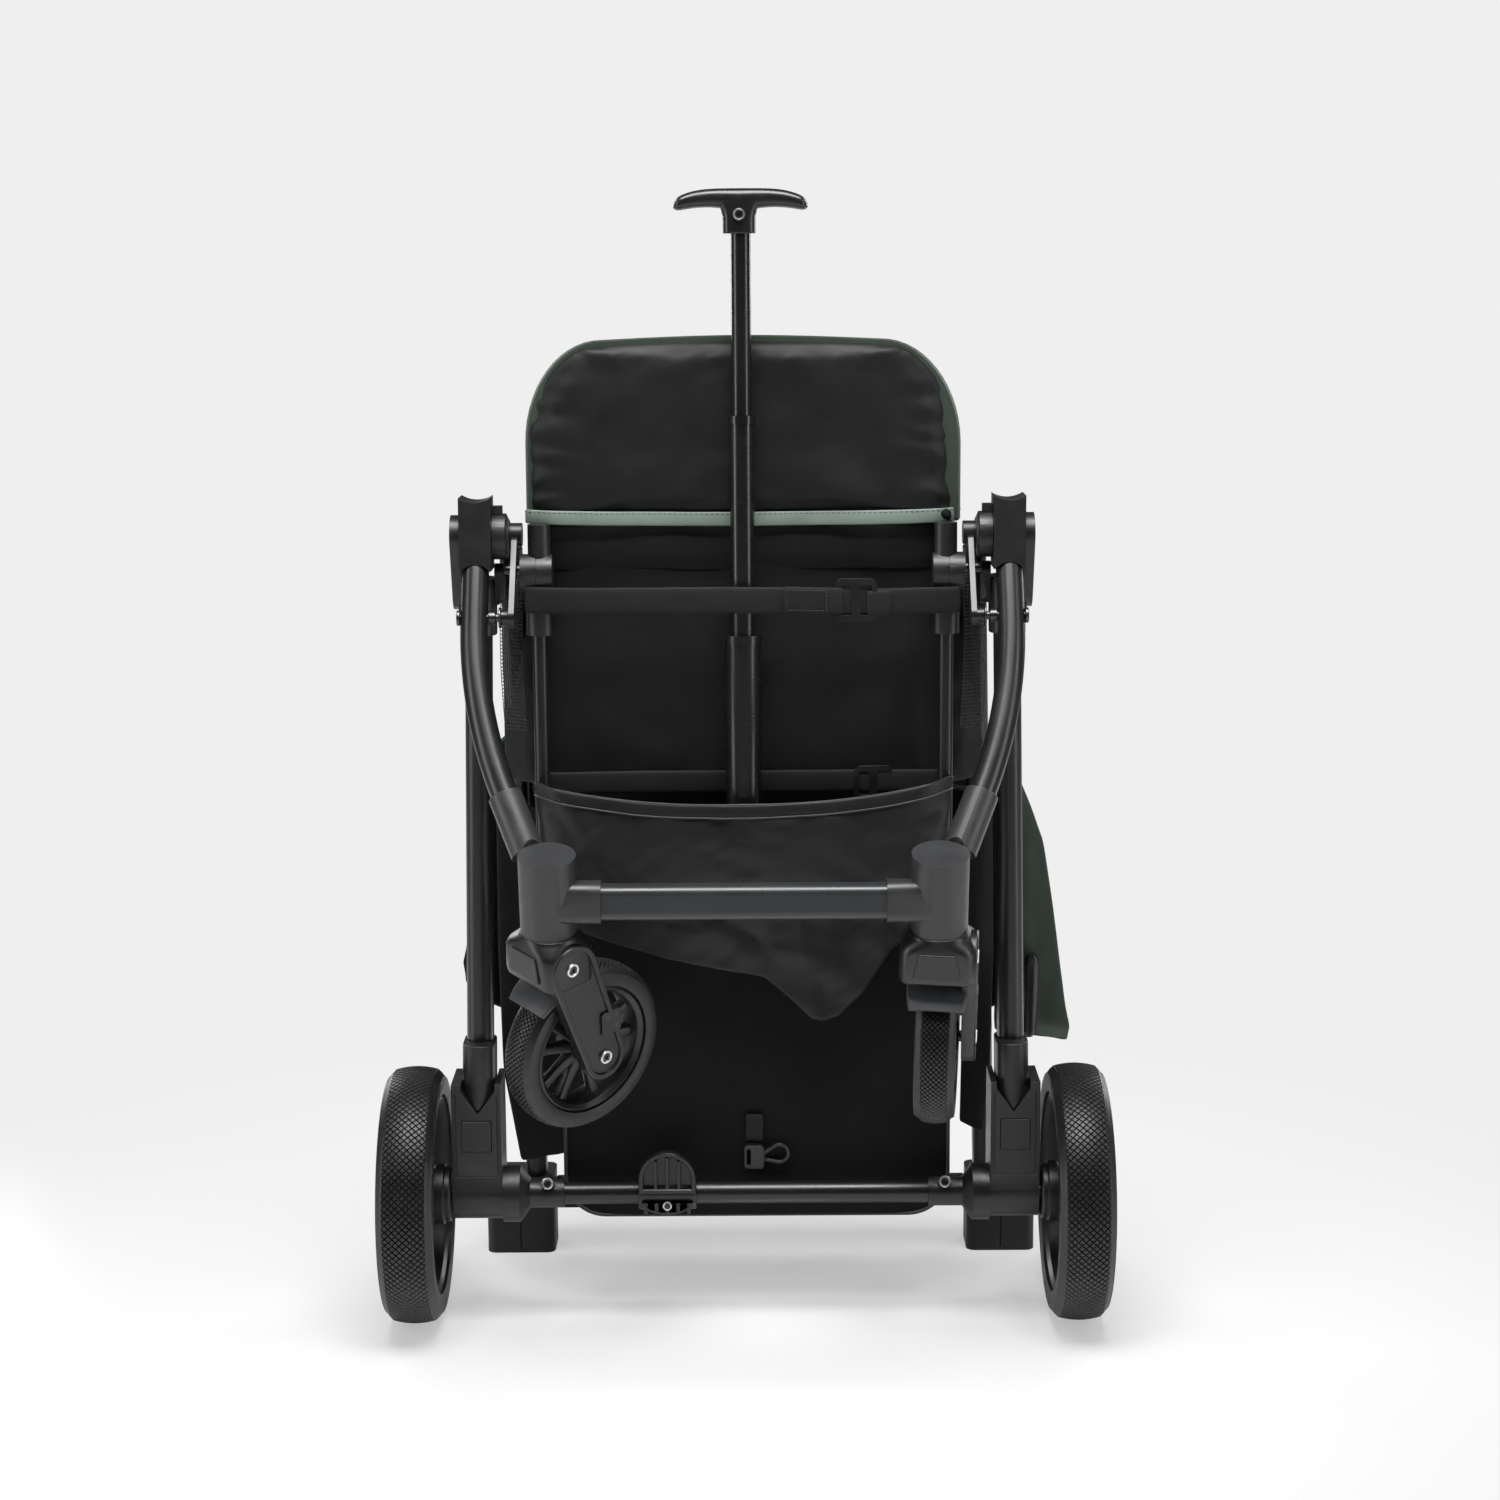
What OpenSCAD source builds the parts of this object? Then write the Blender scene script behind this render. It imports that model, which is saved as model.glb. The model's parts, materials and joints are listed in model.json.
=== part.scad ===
// Folding pet stroller, stored folded: it stands on its rear wheels and on the feet of its handle.
// +X is the stroller's left-to-right width, -Y is the way the folded front legs face, +Z is up.

/* [Rear frame] */
// Outer diameter of a rear tyre
rear_wheel_d = 190; // [186:1:192]
// Width of a rear tyre
rear_wheel_w = 41; // [36:1:42]
// Distance from the middle plane to a rear wheel's middle
rear_wheel_x = 246; // [245:0.5:248]
// Height of the main hinge above the floor
hinge_z = 587; // [585:1:589]
// Diameter of the rear axle tube
axle_tube_d = 16.4; // [15:0.1:17]
// Width of a wheel housing
housing_w = 36.5; // [34:0.5:37]

/* [Front frame] */
// Lean of the folded front legs from the vertical
front_lean = 29.3; // [29:0.1:29.6]
// Outer diameter of a front leg tube
front_tube_d = 19.5; // [18:0.5:20]
// Outer diameter of a front tyre
front_wheel_d = 126; // [122:1:128]
// Width of a front tyre
front_wheel_w = 29; // [26:1:29]
// Swivel of the left caster
left_swivel = -48; // [-55:1:-40]
// Swivel of the right caster
right_swivel = -6; // [-10:1:0]

/* [Seat and pull rod] */
// Distance from the middle plane to a seat tube
seat_tube_x = 147; // [146:0.5:148]
// Diameter of a seat tube
seat_tube_d = 11; // [10:0.5:12]
// Top of the covered leg rest
leg_rest_top = 729; // [715:1:735]
// Diameter of the outer pull rod tube
rod_outer_d = 25.5; // [25:0.5:26]
// Height of the pull rod's grip
grip_top = 832; // [820:1:840]

/* [Handle and canopy] */
// Lean of the folded handle from the vertical
handle_lean = 12.8; // [12.5:0.1:13]
// Outer diameter of a handle tube
handle_tube_d = 17; // [16:0.5:17]
// Width of a foot
foot_w = 54; // [48:1:56]

/* [Hidden] */
$fn = 48;

// Running clearance on a radius, and the gap between a socket and the tube in it
run = 0.05;
gap = 0.25;
wall = 1.6;
plastic = "#26282a";
tube_black = "#1b1d1f";
metal = "#c8cacc";
fabric_black = "#222327";

// The rear axle lies above y = 0 before the whole part is centred on its box
foot_front_y = 135;
foot_depth = 42;
foot_h = 62;
axle_z = rear_wheel_d / 2;
axle_r = axle_tube_d / 2;
pin_r = 4;

// Rear leg: an upright tube that leans in towards the top
leg_base = [199, 12, axle_z];
leg_splay = atan(8.5 / (hinge_z - axle_z));
leg_size = [19.5, 26];
leg_top_z = 556;
sleeve_size = [23.9, 42];
housing_x = 199;
screw_x = 147.6;
pedal_x = -58.6;
rear_rim_r = 74;

// Front leg: straight from the hinge, then an arc, then straight into the hub
front_x = 190.8;
arc_start = 66;
arc_r = 353;
arc_deg = 21.6;
hub_drop = 266;
hub_x = 134.8;
hub_y = -hub_drop * sin(front_lean);
hub_z = hinge_z - hub_drop * cos(front_lean);
caster_tilt = 15;
hub_r = 20;
hub_half = 28;
link_pin = 63;
link_y = -link_pin * sin(front_lean);
link_z = hinge_z - link_pin * cos(front_lean);
front_tube_r = front_tube_d / 2;
front_rim_r = 48.5;

// Caster, measured from the middle of its hub
trail = 25;
drop = 130;
plate_in = 17;
plate_out = 25.5;

// Seat: pivot, rest of the stack and the pull rod
seat_y = 6;
seat_pivot_z = 562;
back_pivot_z = 326;
panel_front = 19.8;
panel_back = 26;
rod_y = 1.5;
rod_mid_r = 8.7;
rod_in_r = 7.1;

// Handle: starts behind the main hinge, and hangs with a slight sideways lean
handle_x = 169;
handle_top = [0, 32, 575];
handle_r = handle_tube_d / 2;
handle_len = 524;
handle_side_lean = 1.2;
foot_shift = handle_len * sin(handle_side_lean);
canopy_pivot = 150;

// The box runs from the front of the casters' hubs to the back of the feet
front_limit = hub_y - hub_r * cos(caster_tilt) - hub_half * sin(caster_tilt);
y_mid = (front_limit + foot_front_y + foot_depth) / 2;

module placed() translate([0, -y_mid, 0]) children();
module flip() mirror([1, 0, 0]) children();
module both() { children(); flip() children(); }
module side(s) if (s > 0) children(); else flip() children();
module yz_plate(x0, x1) translate([x0, 0, 0]) rotate([90, 0, 90]) linear_extrude(x1 - x0) children();
module x_rod(r, x0, x1, at) translate([x0, at[0], at[1]]) rotate([0, 90, 0]) cylinder(r = r, h = x1 - x0);
module tube(r, inner, h) difference() {
    cylinder(r = r, h = h);
    translate([0, 0, -1]) cylinder(r = inner, h = h + 2);
}
// A flat bar with round ends between points p and q
module bar(p, rp, q, rq) {
    a = atan2(q[1] - p[1], q[0] - p[0]);
    b = acos((rp - rq) / norm(q - p));
    translate(p) circle(rp);
    translate(q) circle(rq);
    polygon([p + rp * [cos(a + b), sin(a + b)], q + rq * [cos(a + b), sin(a + b)],
        q + rq * [cos(a - b), sin(a - b)], p + rp * [cos(a - b), sin(a - b)]]);
}
// A slot-shaped section, w across X and d across Y
module slot_shape(w, d) {
    square([w, d - w], center = true);
    for (s = [-1, 1]) translate([0, s * (d - w) / 2]) circle(d = w);
}
module round_rect(w, h, r) {
    square([w - 2 * r, h], center = true);
    square([w, h - 2 * r], center = true);
    for (i = [-1, 1], j = [-1, 1]) translate([i * (w / 2 - r), j * (h / 2 - r)]) circle(r);
}

// ---- Rear frame ----
module leg_frame() translate(leg_base) rotate([0, -leg_splay, 0]) children();
module leg_core(extra, z0, z1) leg_frame()
    translate([0, 0, z0 - axle_z]) linear_extrude(z1 - z0)
        slot_shape(leg_size[0] + 2 * extra, leg_size[1] + 2 * extra);
module rear_leg() difference() {
    leg_core(0, 120, leg_top_z);
    leg_core(-wall, 119, leg_top_z + 1);
}
module rear_leg_right() color(tube_black) placed() rear_leg();
module rear_leg_left() color(tube_black) placed() flip() rear_leg();

// The sleeve's lower end is a point that sits in a V notch of the housing
module sleeve_outline(extra) leg_frame() translate([0, 40, -axle_z]) rotate([90, 0, 0])
    linear_extrude(80) polygon([[-12.2 - extra, 212 + extra], [12.2 + extra, 212 + extra],
        [12.2 + extra, 179 - extra], [0, 162 - 1.4 * extra], [-12.2 - extra, 179 - extra]]);
module leg_sleeve() intersection() {
    difference() {
        leg_frame() translate([0, -6, 158 - axle_z]) linear_extrude(54)
            slot_shape(sleeve_size[0], sleeve_size[1]);
        leg_core(run, 150, 220);
    }
    sleeve_outline(0);
}
module leg_sleeves() color(plastic) placed() both() leg_sleeve();

module wheel_housing() difference() {
    yz_plate(housing_x - housing_w / 2, housing_x + housing_w / 2) {
        translate([1, axle_z + 0.5]) circle(19);
        translate([-17, axle_z]) square([44, 184 - axle_z]);
        translate([1, axle_z - 18.5]) square([14, 30]);
        translate([15, axle_z - 6.5]) circle(12);
    }
    leg_core(run, 118, 190);
    sleeve_outline(gap);
    x_rod(5 + run / 2, 178, 220, [0, axle_z]);
    translate([housing_x - 11, -20, 132.7]) cube([22, 9, 23.3]);
    translate([housing_x - 15.7, -17.5, 113]) cube([31.4, 1.1, 0.8]);
    for (s = [-1, 1]) translate([housing_x + 15.3 * s - 0.4, -17.5, 113]) cube([0.8, 1.1, 63]);
}
module wheel_housing_right() color(plastic) placed() wheel_housing();
module wheel_housing_left() color(plastic) placed() flip() wheel_housing();

module release_button() translate([housing_x - 10.7, -18, 133]) cube([21.4, 4.4, 22.7]);
module release_button_right() color(plastic) placed() release_button();
module release_button_left() color(plastic) placed() flip() release_button();

// Hinge bracket on top of the rear leg: outer disc, socket and an inner lug for the seat pivot
module rear_hinge() difference() {
    union() {
        yz_plate(202, 209) bar([0, hinge_z], 15.5, [12, 546], 13);
        intersection() {
            leg_core(3.4, 515, 556);
            translate([150, -60, 515]) cube([80, 120, 41]);
        }
        yz_plate(172, 178.7) bar([seat_y, seat_pivot_z - 1], 6, [12, 545], 8);
        yz_plate(176, 184) translate([4, 537]) square([16, 18]);
        yz_plate(198, 205) translate([2, 533]) square([20, 22]);
    }
    leg_core(run, 500, 600);
    x_rod(pin_r, 190, 206.5, [0, hinge_z]);
    x_rod(pin_r, 171, 178, [seat_y, seat_pivot_z]);
}
module rear_hinges() color(plastic) placed() both() rear_hinge();

module hinge_bolt() {
    x_rod(pin_r, 171.5, 206.5, [0, hinge_z]);
    x_rod(pin_r, 150.2, 178, [seat_y, seat_pivot_z]);
}
module hinge_bolts() color(metal) placed() both() hinge_bolt();

module axle_tube() color(tube_black) placed() translate([-150, 0, axle_z]) rotate([0, 90, 0])
    tube(axle_r, axle_r - wall, 300);

module axle_socket() difference() {
    union() {
        x_rod(10.6, 135.6, 168, [0, axle_z]);
        translate([161, 0, axle_z]) rotate([0, 90, 0]) cylinder(r1 = 11, r2 = 21, h = 7);
        x_rod(21, 168, housing_x - housing_w / 2 - 0.05, [0, axle_z]);
    }
    x_rod(axle_r, 130, 150, [0, axle_z]);
    x_rod(5 + run / 2, 172, 190, [0, axle_z]);
    socket_screw(2.5);
}
module axle_sockets() color(plastic) placed() both() axle_socket();
module socket_screw(r) translate([screw_x, 0, axle_z]) rotate([36, 0, 0]) {
    translate([0, 0, 4]) cylinder(r = r, h = 8);
    translate([0, 0, 10.2]) cylinder(r = 4.6, h = 2.4);
}
module socket_screws() color(metal) placed() both() socket_screw(2.5);

module rear_axle_pin() x_rod(5, 174, 255, [0, axle_z]);
module rear_axle_pins() color(metal) placed() both() rear_axle_pin();

// Folded basket: a flat pouch, open at the top, that narrows behind the casters
module basket() color(fabric_black) placed() difference() {
    yz_plate(-150, 150) polygon([[-26, 396], [-26, 335], [-7, 300], [-7, 252], [3, 252],
        [3, 306], [-4, 316], [-14, 328], [-14, 396]]);
    translate([-146, -24, 338]) cube([292, 8, 60]);
}

// ---- Front frame ----
module front_frame() translate([0, 0, hinge_z]) rotate([-front_lean, 0, 0]) children();
// The leg's tube: straight at the hinge, then an arc that runs on a little way into the sleeve
module front_leg() front_frame() {
    translate([front_x, 0, -arc_start]) tube(front_tube_r, front_tube_r - wall, arc_start - 22);
    translate([front_x - arc_r, 0, -arc_start]) rotate([90, 0, 0]) rotate([0, 0, -arc_deg - 1.6])
        rotate_extrude(angle = arc_deg + 1.6, $fn = 96) translate([arc_r, 0]) difference() {
            circle(front_tube_r);
            circle(front_tube_r - wall);
        }
}
// Where the arc ends, looking down the last straight
module front_end() translate([front_x - arc_r * (1 - cos(arc_deg)), 0, -arc_start - arc_r * sin(arc_deg)])
    rotate([0, arc_deg, 0]) children();
module front_leg_right() color(tube_black) placed() front_leg();
module front_leg_left() color(tube_black) placed() flip() front_leg();

// Cap of the front leg on the main hinge, with a saddle cut in its top and an arched lower edge
module front_cap() difference() {
    union() {
        yz_plate(179.1, 201.6) {
            translate([-22, 564]) square([30, 53]);
            translate([0, hinge_z]) circle(15);
        }
    }
    x_rod(pin_r + run, 170, 210, [0, hinge_z]);
    translate([190.35, -10, 634]) rotate([90, 0, 0]) cylinder(r = 21, h = 80, center = true);
    translate([190.35, 0, 556]) rotate([90, 0, 0]) cylinder(r = 13, h = 80, center = true);
    front_frame() translate([front_x, 0, -60]) cylinder(r = front_tube_r, h = 38.05);
}
module front_caps() color(plastic) placed() both() front_cap();

module front_sleeve() difference() {
    front_frame() front_end() translate([0, 0, -46]) cylinder(r = 12, h = 46);
    front_frame() front_end() translate([0, 0, -12]) cylinder(r = front_tube_r + 0.3, h = 20);
    hub_frame(1) cylinder(r = hub_r + 0.05, h = 2 * hub_half + 20, center = true);
}
module front_sleeves() color(plastic) placed() both() front_sleeve();

module hub_frame(s) translate([s * hub_x, hub_y, hub_z]) rotate([caster_tilt, 0, 0]) children();
module front_hub() difference() {
    union() {
        hub_frame(1) translate([0, 0, -hub_half]) cylinder(r = hub_r, h = 2 * hub_half);
        translate([98, hub_y - 4, 348.7]) rotate([90, 0, 90]) linear_extrude(34) round_rect(24, 28, 7);
    }
    hub_frame(1) translate([0, -hub_r, hub_half + 8.6]) rotate([35, 0, 0])
        translate([-40, -60, 0]) cube([80, 120, 60]);
    hub_frame(1) translate([0, 0, -hub_half - 1]) cylinder(r = 6 + run, h = 45);
    crossbar_core(0.02);
}
module front_hub_right() color(plastic) placed() front_hub();
module front_hub_left() color(plastic) placed() flip() front_hub();

module crossbar_core(extra) translate([-112, hub_y - 4, 348.7]) rotate([90, 0, 90])
    linear_extrude(224) round_rect(20 + 2 * extra, 24 + 2 * extra, 6 + extra);
module crossbar() color("#3a3d40") placed() difference() {
    crossbar_core(0);
    translate([-120, hub_y - 4, 348.7]) rotate([90, 0, 90]) linear_extrude(240) round_rect(16.8, 20.8, 4.4);
}

// Bolt that carries the drive link: dome head outside, spacer, washer and acorn nut inside
module link_bolt() front_frame() {
    x_rod(3, 168, 202, [0, -link_pin]);
    x_rod(5.5, 200.7, 203.2, [0, -link_pin]);
    difference() {
        x_rod(4.6, 175.5, 180.6, [0, -link_pin]);
        x_rod(3, 170, 190, [0, -link_pin]);
    }
    difference() {
        x_rod(7.5, 171.6, 173.2, [0, -link_pin]);
        x_rod(3, 170, 190, [0, -link_pin]);
    }
}
module link_bolts() color(metal) placed() both() link_bolt();

// ---- Casters ----
module caster_fork() difference() {
    union() {
        translate([0, 0, -46]) cylinder(r = hub_r, h = 46 - hub_half - 1.2);
        translate([0, 0, -40]) cylinder(r = 6, h = 54);
        translate([-plate_out, -17, -63]) cube([2 * plate_out, 36, 19]);
        translate([-15, -20.5, -60]) cube([30, 6, 21]);
        for (s = [-1, 1]) translate([s * (plate_in + plate_out) / 2, 0, 0])
            yz_plate(-(plate_out - plate_in) / 2, (plate_out - plate_in) / 2)
                bar([0, -52], 16.4, [trail, -drop], 15.8);
    }
    translate([0, trail, -drop]) rotate([0, 90, 0])
        cylinder(r = front_wheel_d / 2 + 3, h = 2 * plate_in, center = true);
    fender_ring(0.2);
    x_rod(4, -40, 40, [trail, -drop]);
}
module fender_ring(extra) translate([0, trail, -drop]) rotate([0, 90, 0]) rotate([0, 0, 188])
    rotate_extrude(angle = 60 + extra, $fn = 96)
        translate([front_wheel_d / 2 + 2.6 - extra, -21.3 - extra])
            square([3 + 2 * extra, 42.6 + 2 * extra]);
module caster_fender() fender_ring(0);
module caster_bolts() {
    x_rod(4, -plate_out - 2.4, plate_out + 2.4, [trail, -drop]);
    for (s = [-1, 1]) x_rod(6.4, s * (plate_out + 1.4) - 1.2, s * (plate_out + 1.4) + 1.2, [trail, -drop]);
    for (s = [-1, 1]) x_rod(5.5, s * (plate_out + 1.2) - 1.1, s * (plate_out + 1.2) + 1.1, [-2, -50]);
}
module caster_left() hub_frame(-1) rotate([0, 0, left_swivel]) children();
module caster_right() hub_frame(1) rotate([0, 0, right_swivel]) children();
module caster_fork_left() color(plastic) placed() caster_left() caster_fork();
module caster_fork_right() color(plastic) placed() caster_right() caster_fork();
module caster_fender_left() color("#55595e") placed() caster_left() caster_fender();
module caster_fender_right() color("#55595e") placed() caster_right() caster_fender();
module caster_bolts_left() color(metal) placed() caster_left() caster_bolts();
module caster_bolts_right() color(metal) placed() caster_right() caster_bolts();

// A tyre around Z: outer radius r, inner radius b, width w
module tyre(r, b, w) rotate_extrude($fn = 96) polygon([[b, -0.4 * w], [b + 0.3 * (r - b), -0.5 * w],
    [r - 0.28 * (r - b), -0.48 * w], [r - 0.08 * (r - b), -0.36 * w], [r, -0.2 * w], [r, 0.2 * w],
    [r - 0.08 * (r - b), 0.36 * w], [r - 0.28 * (r - b), 0.48 * w], [b + 0.3 * (r - b), 0.5 * w],
    [b, 0.4 * w]]);
// A rim around Z with pairs of spokes that meet at the hub
module rim(r, w, hub, hub_w, bore, spoke) difference() {
    union() {
        tube(r, r - 5.5, w);
        translate([0, 0, (w - hub_w) / 2]) cylinder(r = hub, h = hub_w);
        for (i = [0:4], s = [-1, 1]) rotate([0, 0, 72 * i + s * asin(4.2 / hub)])
            translate([-3.5, 0.6 * hub, (w - spoke) / 2]) cube([7, r - 3 - 0.6 * hub, spoke]);
    }
    translate([0, 0, -w]) cylinder(r = bore, h = 4 * w);
}
module front_wheel_frame(s) {
    if (s > 0) caster_right() translate([0, trail, -drop]) rotate([0, 90, 0]) children();
    else caster_left() translate([0, trail, -drop]) rotate([0, 90, 0]) children();
}
module front_tyre_left() color("#202122") placed() front_wheel_frame(-1)
    tyre(front_wheel_d / 2, front_rim_r, front_wheel_w);
module front_tyre_right() color("#202122") placed() front_wheel_frame(1)
    tyre(front_wheel_d / 2, front_rim_r, front_wheel_w);
module front_rim_left() color(plastic) placed() front_wheel_frame(-1) translate([0, 0, -11])
    rim(front_rim_r, 22, 13, 30, pin_r + run, 8);
module front_rim_right() color(plastic) placed() front_wheel_frame(1) translate([0, 0, -11])
    rim(front_rim_r, 22, 13, 30, pin_r + run, 8);

module rear_wheel_frame(s) translate([s * rear_wheel_x, 0, axle_z]) rotate([0, 90 * s, 0]) children();
module rear_tyre_left() color("#202122") placed() rear_wheel_frame(-1)
    tyre(rear_wheel_d / 2, rear_rim_r, rear_wheel_w);
module rear_tyre_right() color("#202122") placed() rear_wheel_frame(1)
    tyre(rear_wheel_d / 2, rear_rim_r, rear_wheel_w);
module rear_rim() difference() {
    union() {
        translate([0, 0, -16]) rim(rear_rim_r, 32, 18, 34, 5 + run, 9);
        translate([0, 0, -27]) cylinder(r = 22.5, h = 14);
        translate([0, 0, 13]) cylinder(r = 20, h = 4);
    }
    translate([0, 0, -40]) cylinder(r = 5 + run, h = 49.3);
}
module rear_rim_left() color(plastic) placed() rear_wheel_frame(-1) rear_rim();
module rear_rim_right() color(plastic) placed() rear_wheel_frame(1) rear_rim();

// Rocker pedal on the axle tube: a ring with a ribbed window above and a ribbed lip below
module brake_pedal() color(plastic) placed() difference() {
    union() {
        x_rod(12.6, pedal_x - 21.5, pedal_x + 21.5, [0, axle_z + 0.4]);
        translate([pedal_x, -9, axle_z]) rotate([90, 0, 0]) linear_extrude(7.5) {
            translate([0, 14.5]) circle(21.5);
            translate([-21.5, -8]) square([43, 22]);
            translate([0, 4]) intersection() {
                circle(21.5);
                translate([-19, -16]) square([38, 16]);
            }
        }
    }
    x_rod(axle_r + run, pedal_x - 30, pedal_x + 30, [0, axle_z]);
    for (i = [-1.5:1:1.5]) translate([pedal_x + 8.6 * i - 3, -30, axle_z + 14.5])
        cube([6, 40, 12.5 - 3.2 * abs(i)]);
    for (i = [-1.5:1:1.5]) translate([pedal_x + 8.6 * i - 3, -17.5, axle_z - 11.4]) cube([6, 4, 6]);
}

// ---- Seat ----
module seat_tube() translate([seat_tube_x, seat_y, 333.4])
    tube(seat_tube_d / 2, seat_tube_d / 2 - 1.2, 205);
module seat_tube_right() color(tube_black) placed() seat_tube();
module seat_tube_left() color(tube_black) placed() flip() seat_tube();
module seat_cross_tube() color(tube_black) placed()
    translate([-153, seat_y, back_pivot_z]) rotate([0, 90, 0]) tube(7, 5.5, 306);

// Joint of seat and leg rest: two round halves, a sleeve below and a stub above
module ratchet_hub() difference() {
    union() {
        x_rod(13.5, 137, 148.4, [seat_y, 560]);
        x_rod(12.6, 148, 149, [seat_y, 560]);
        x_rod(13.5, 148.8, 160, [seat_y, 560]);
        translate([146.5, seat_y, 515]) cylinder(r = 10, h = 38);
        translate([146.5, seat_y, 570]) cylinder(r = 8.2, h = 25);
    }
    translate([seat_tube_x, seat_y, 500]) cylinder(r = seat_tube_d / 2, h = 38.4);
    x_rod(pin_r + run, 150, 170, [seat_y, seat_pivot_z]);
}
module ratchet_hub_right() color(plastic) placed() ratchet_hub();
module ratchet_hub_left() color(plastic) placed() flip() ratchet_hub();

module leg_rest() color(fabric_black) placed() translate([0, 28, (leg_rest_top + 596) / 2])
    rotate([90, 0, 0]) linear_extrude(16.5) {
        round_rect(313, leg_rest_top - 596, 42);
        translate([-156.5, -(leg_rest_top - 596) / 2]) square([313, 60]);
    }
module seat_panel() color(fabric_black) placed()
    translate([-152, panel_front, 350]) cube([304, panel_back - panel_front, 243]);

module seat_strap(z, h, p) translate([0, 0, z]) linear_extrude(h)
    polygon(concat([for (q = p) q], [for (i = [len(p) - 1:-1:0]) p[i] + [0, 1.4]]));
module seat_straps() color("#2b2c30") placed() {
    seat_strap(532, 18, [[-157, -7], [-60, -9.8], [60, -9.8], [157, -7]]);
    seat_strap(396, 17, [[-140, 14.6], [140, 14.6]]);
}
module buckle(x, y, z, w, h) translate([x, y, z]) rotate([90, 0, 0]) linear_extrude(2.6) difference() {
    round_rect(w, h, 5);
    for (s = [-1, 1]) translate([s * w / 4, 0]) round_rect(w / 2 - 6, h - 9, 2);
}
module strap_buckles() color(plastic) placed() {
    buckle(81, -10, 541, 30, 31);
    buckle(95, 14.4, 403, 28, 26);
}

// ---- Pull rod ----
module rod_at(z) translate([0, rod_y, z]) children();
module rod_outer_tube() color(tube_black) placed() rod_at(334) difference() {
    union() {
        cylinder(r = rod_outer_d / 2, h = 180);
        translate([0, 0, 174]) cylinder(r = rod_outer_d / 2 + 0.7, h = 7);
    }
    translate([0, 0, 4]) cylinder(r = rod_mid_r + run, h = 180);
}
module rod_middle_tube() color(tube_black) placed() rod_at(480) difference() {
    union() {
        cylinder(r = rod_mid_r, h = 190);
        translate([0, 0, 187]) cylinder(r = 9.4, h = 5.5);
    }
    translate([0, 0, -1]) cylinder(r = rod_in_r + run, h = 200);
}
module rod_inner_tube() color(tube_black) placed() rod_at(620) tube(rod_in_r, 5.9, grip_top - 12 - 620);
module rod_grip() color(plastic) placed() difference() {
    union() {
        rod_at(grip_top - 32) linear_extrude(20) round_rect(23.4, 18, 7);
        translate([0, rod_y, grip_top]) rotate([90, 0, 0]) linear_extrude(18, center = true)
            polygon([[-48, -13], [-46, -8], [-30, -1.5], [-12, 0], [12, 0], [30, -1.5], [46, -8],
                [48, -13], [44, -16], [28, -13.5], [14, -16], [-14, -16], [-28, -13.5], [-44, -16]]);
    }
    rod_at(grip_top - 40) cylinder(r = rod_in_r, h = 28);
}

// Drive link from the front leg's bolt up to the seat: its upper pivot is left open
module drive_link() difference() {
    yz_plate(162.2, 166.2) bar([link_y, link_z], 7, [seat_y, seat_pivot_z + 17.7], 6);
    front_frame() x_rod(3 + run, 150, 230, [0, -link_pin]);
}
module drive_links() color(tube_black) placed() both() {
    drive_link();
    difference() {
        front_frame() x_rod(5.6, 166.2, 171.4, [0, -link_pin]);
        front_frame() x_rod(3 + run, 150, 230, [0, -link_pin]);
    }
}

// ---- Backrest ----
module backrest_panel() color(fabric_black) placed() translate([0, panel_back, (70 + 316) / 2])
    rotate([90, 0, 0]) linear_extrude(panel_back - panel_front) {
        round_rect(284, 246, 34);
        translate([-142, 30]) square([284, 93]);
    }
module recline_clip() color(plastic) placed() translate([6, panel_front, 118]) rotate([90, 0, 0]) {
    linear_extrude(8) difference() {
        round_rect(15, 18, 2.5);
        translate([-4, 0]) round_rect(2.6, 12, 1.2);
    }
    translate([0, 0, 2]) linear_extrude(3) difference() {
        bar([8, 0], 4, [19, 2], 8);
        bar([10, 0], 2, [19, 2], 5.4);
    }
}

// ---- Handle ----
// s is 1 for the right side and -1 for the left
module handle_frame(s) translate([s * handle_x, handle_top[1], handle_top[2]])
    rotate([handle_lean, -s - handle_side_lean, 0]) children();
module handle_tube(s) handle_frame(s) translate([0, 0, -handle_len])
    tube(handle_r, handle_r - 1.5, handle_len);
module handle_tube_right() color(tube_black) placed() handle_tube(1);
module handle_tube_left() color(tube_black) placed() handle_tube(-1);
module handle_hinge(s) difference() {
    union() {
        side(s) {
            yz_plate(169.4, 178.8) bar([0, hinge_z], 16.5, [32, 583], 12);
            yz_plate(160.5, 171) translate([32, 585]) circle(8.5);
            yz_plate(172, 178.8) translate([-5, 603]) square([9, 6]);
        }
        handle_frame(s) translate([0, 0, -16]) cylinder(r = handle_r - 1.5, h = 26);
    }
    handle_frame(s) translate([0, 0, -30]) tube(handle_r + 12, handle_r - 1.5, 30);
    side(s) x_rod(pin_r + run, 171.4, 180, [0, hinge_z]);
}
module handle_hinges() color(plastic) placed() {
    handle_hinge(1);
    handle_hinge(-1);
}

// The feet follow the handle's sideways lean
module handle_foot(s) difference() {
    translate([191 * s + foot_shift, foot_front_y + foot_depth / 2, 0]) linear_extrude(foot_h)
        round_rect(foot_w, foot_depth, 7);
    handle_frame(s) translate([0, 0, -handle_len]) cylinder(r = handle_r + run, h = handle_len);
    translate([191 * s + foot_shift - 0.4, foot_front_y - 1, 3]) cube([0.8, 2, foot_h]);
}
module handle_feet() color("#1f2021") placed() {
    handle_foot(1);
    handle_foot(-1);
}
module handle_grip() color("#1d1e1f") placed()
    translate([foot_shift - 163.5, foot_front_y + foot_depth / 2, 44]) rotate([0, 90, 0])
        cylinder(r = 13, h = 327);

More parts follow.
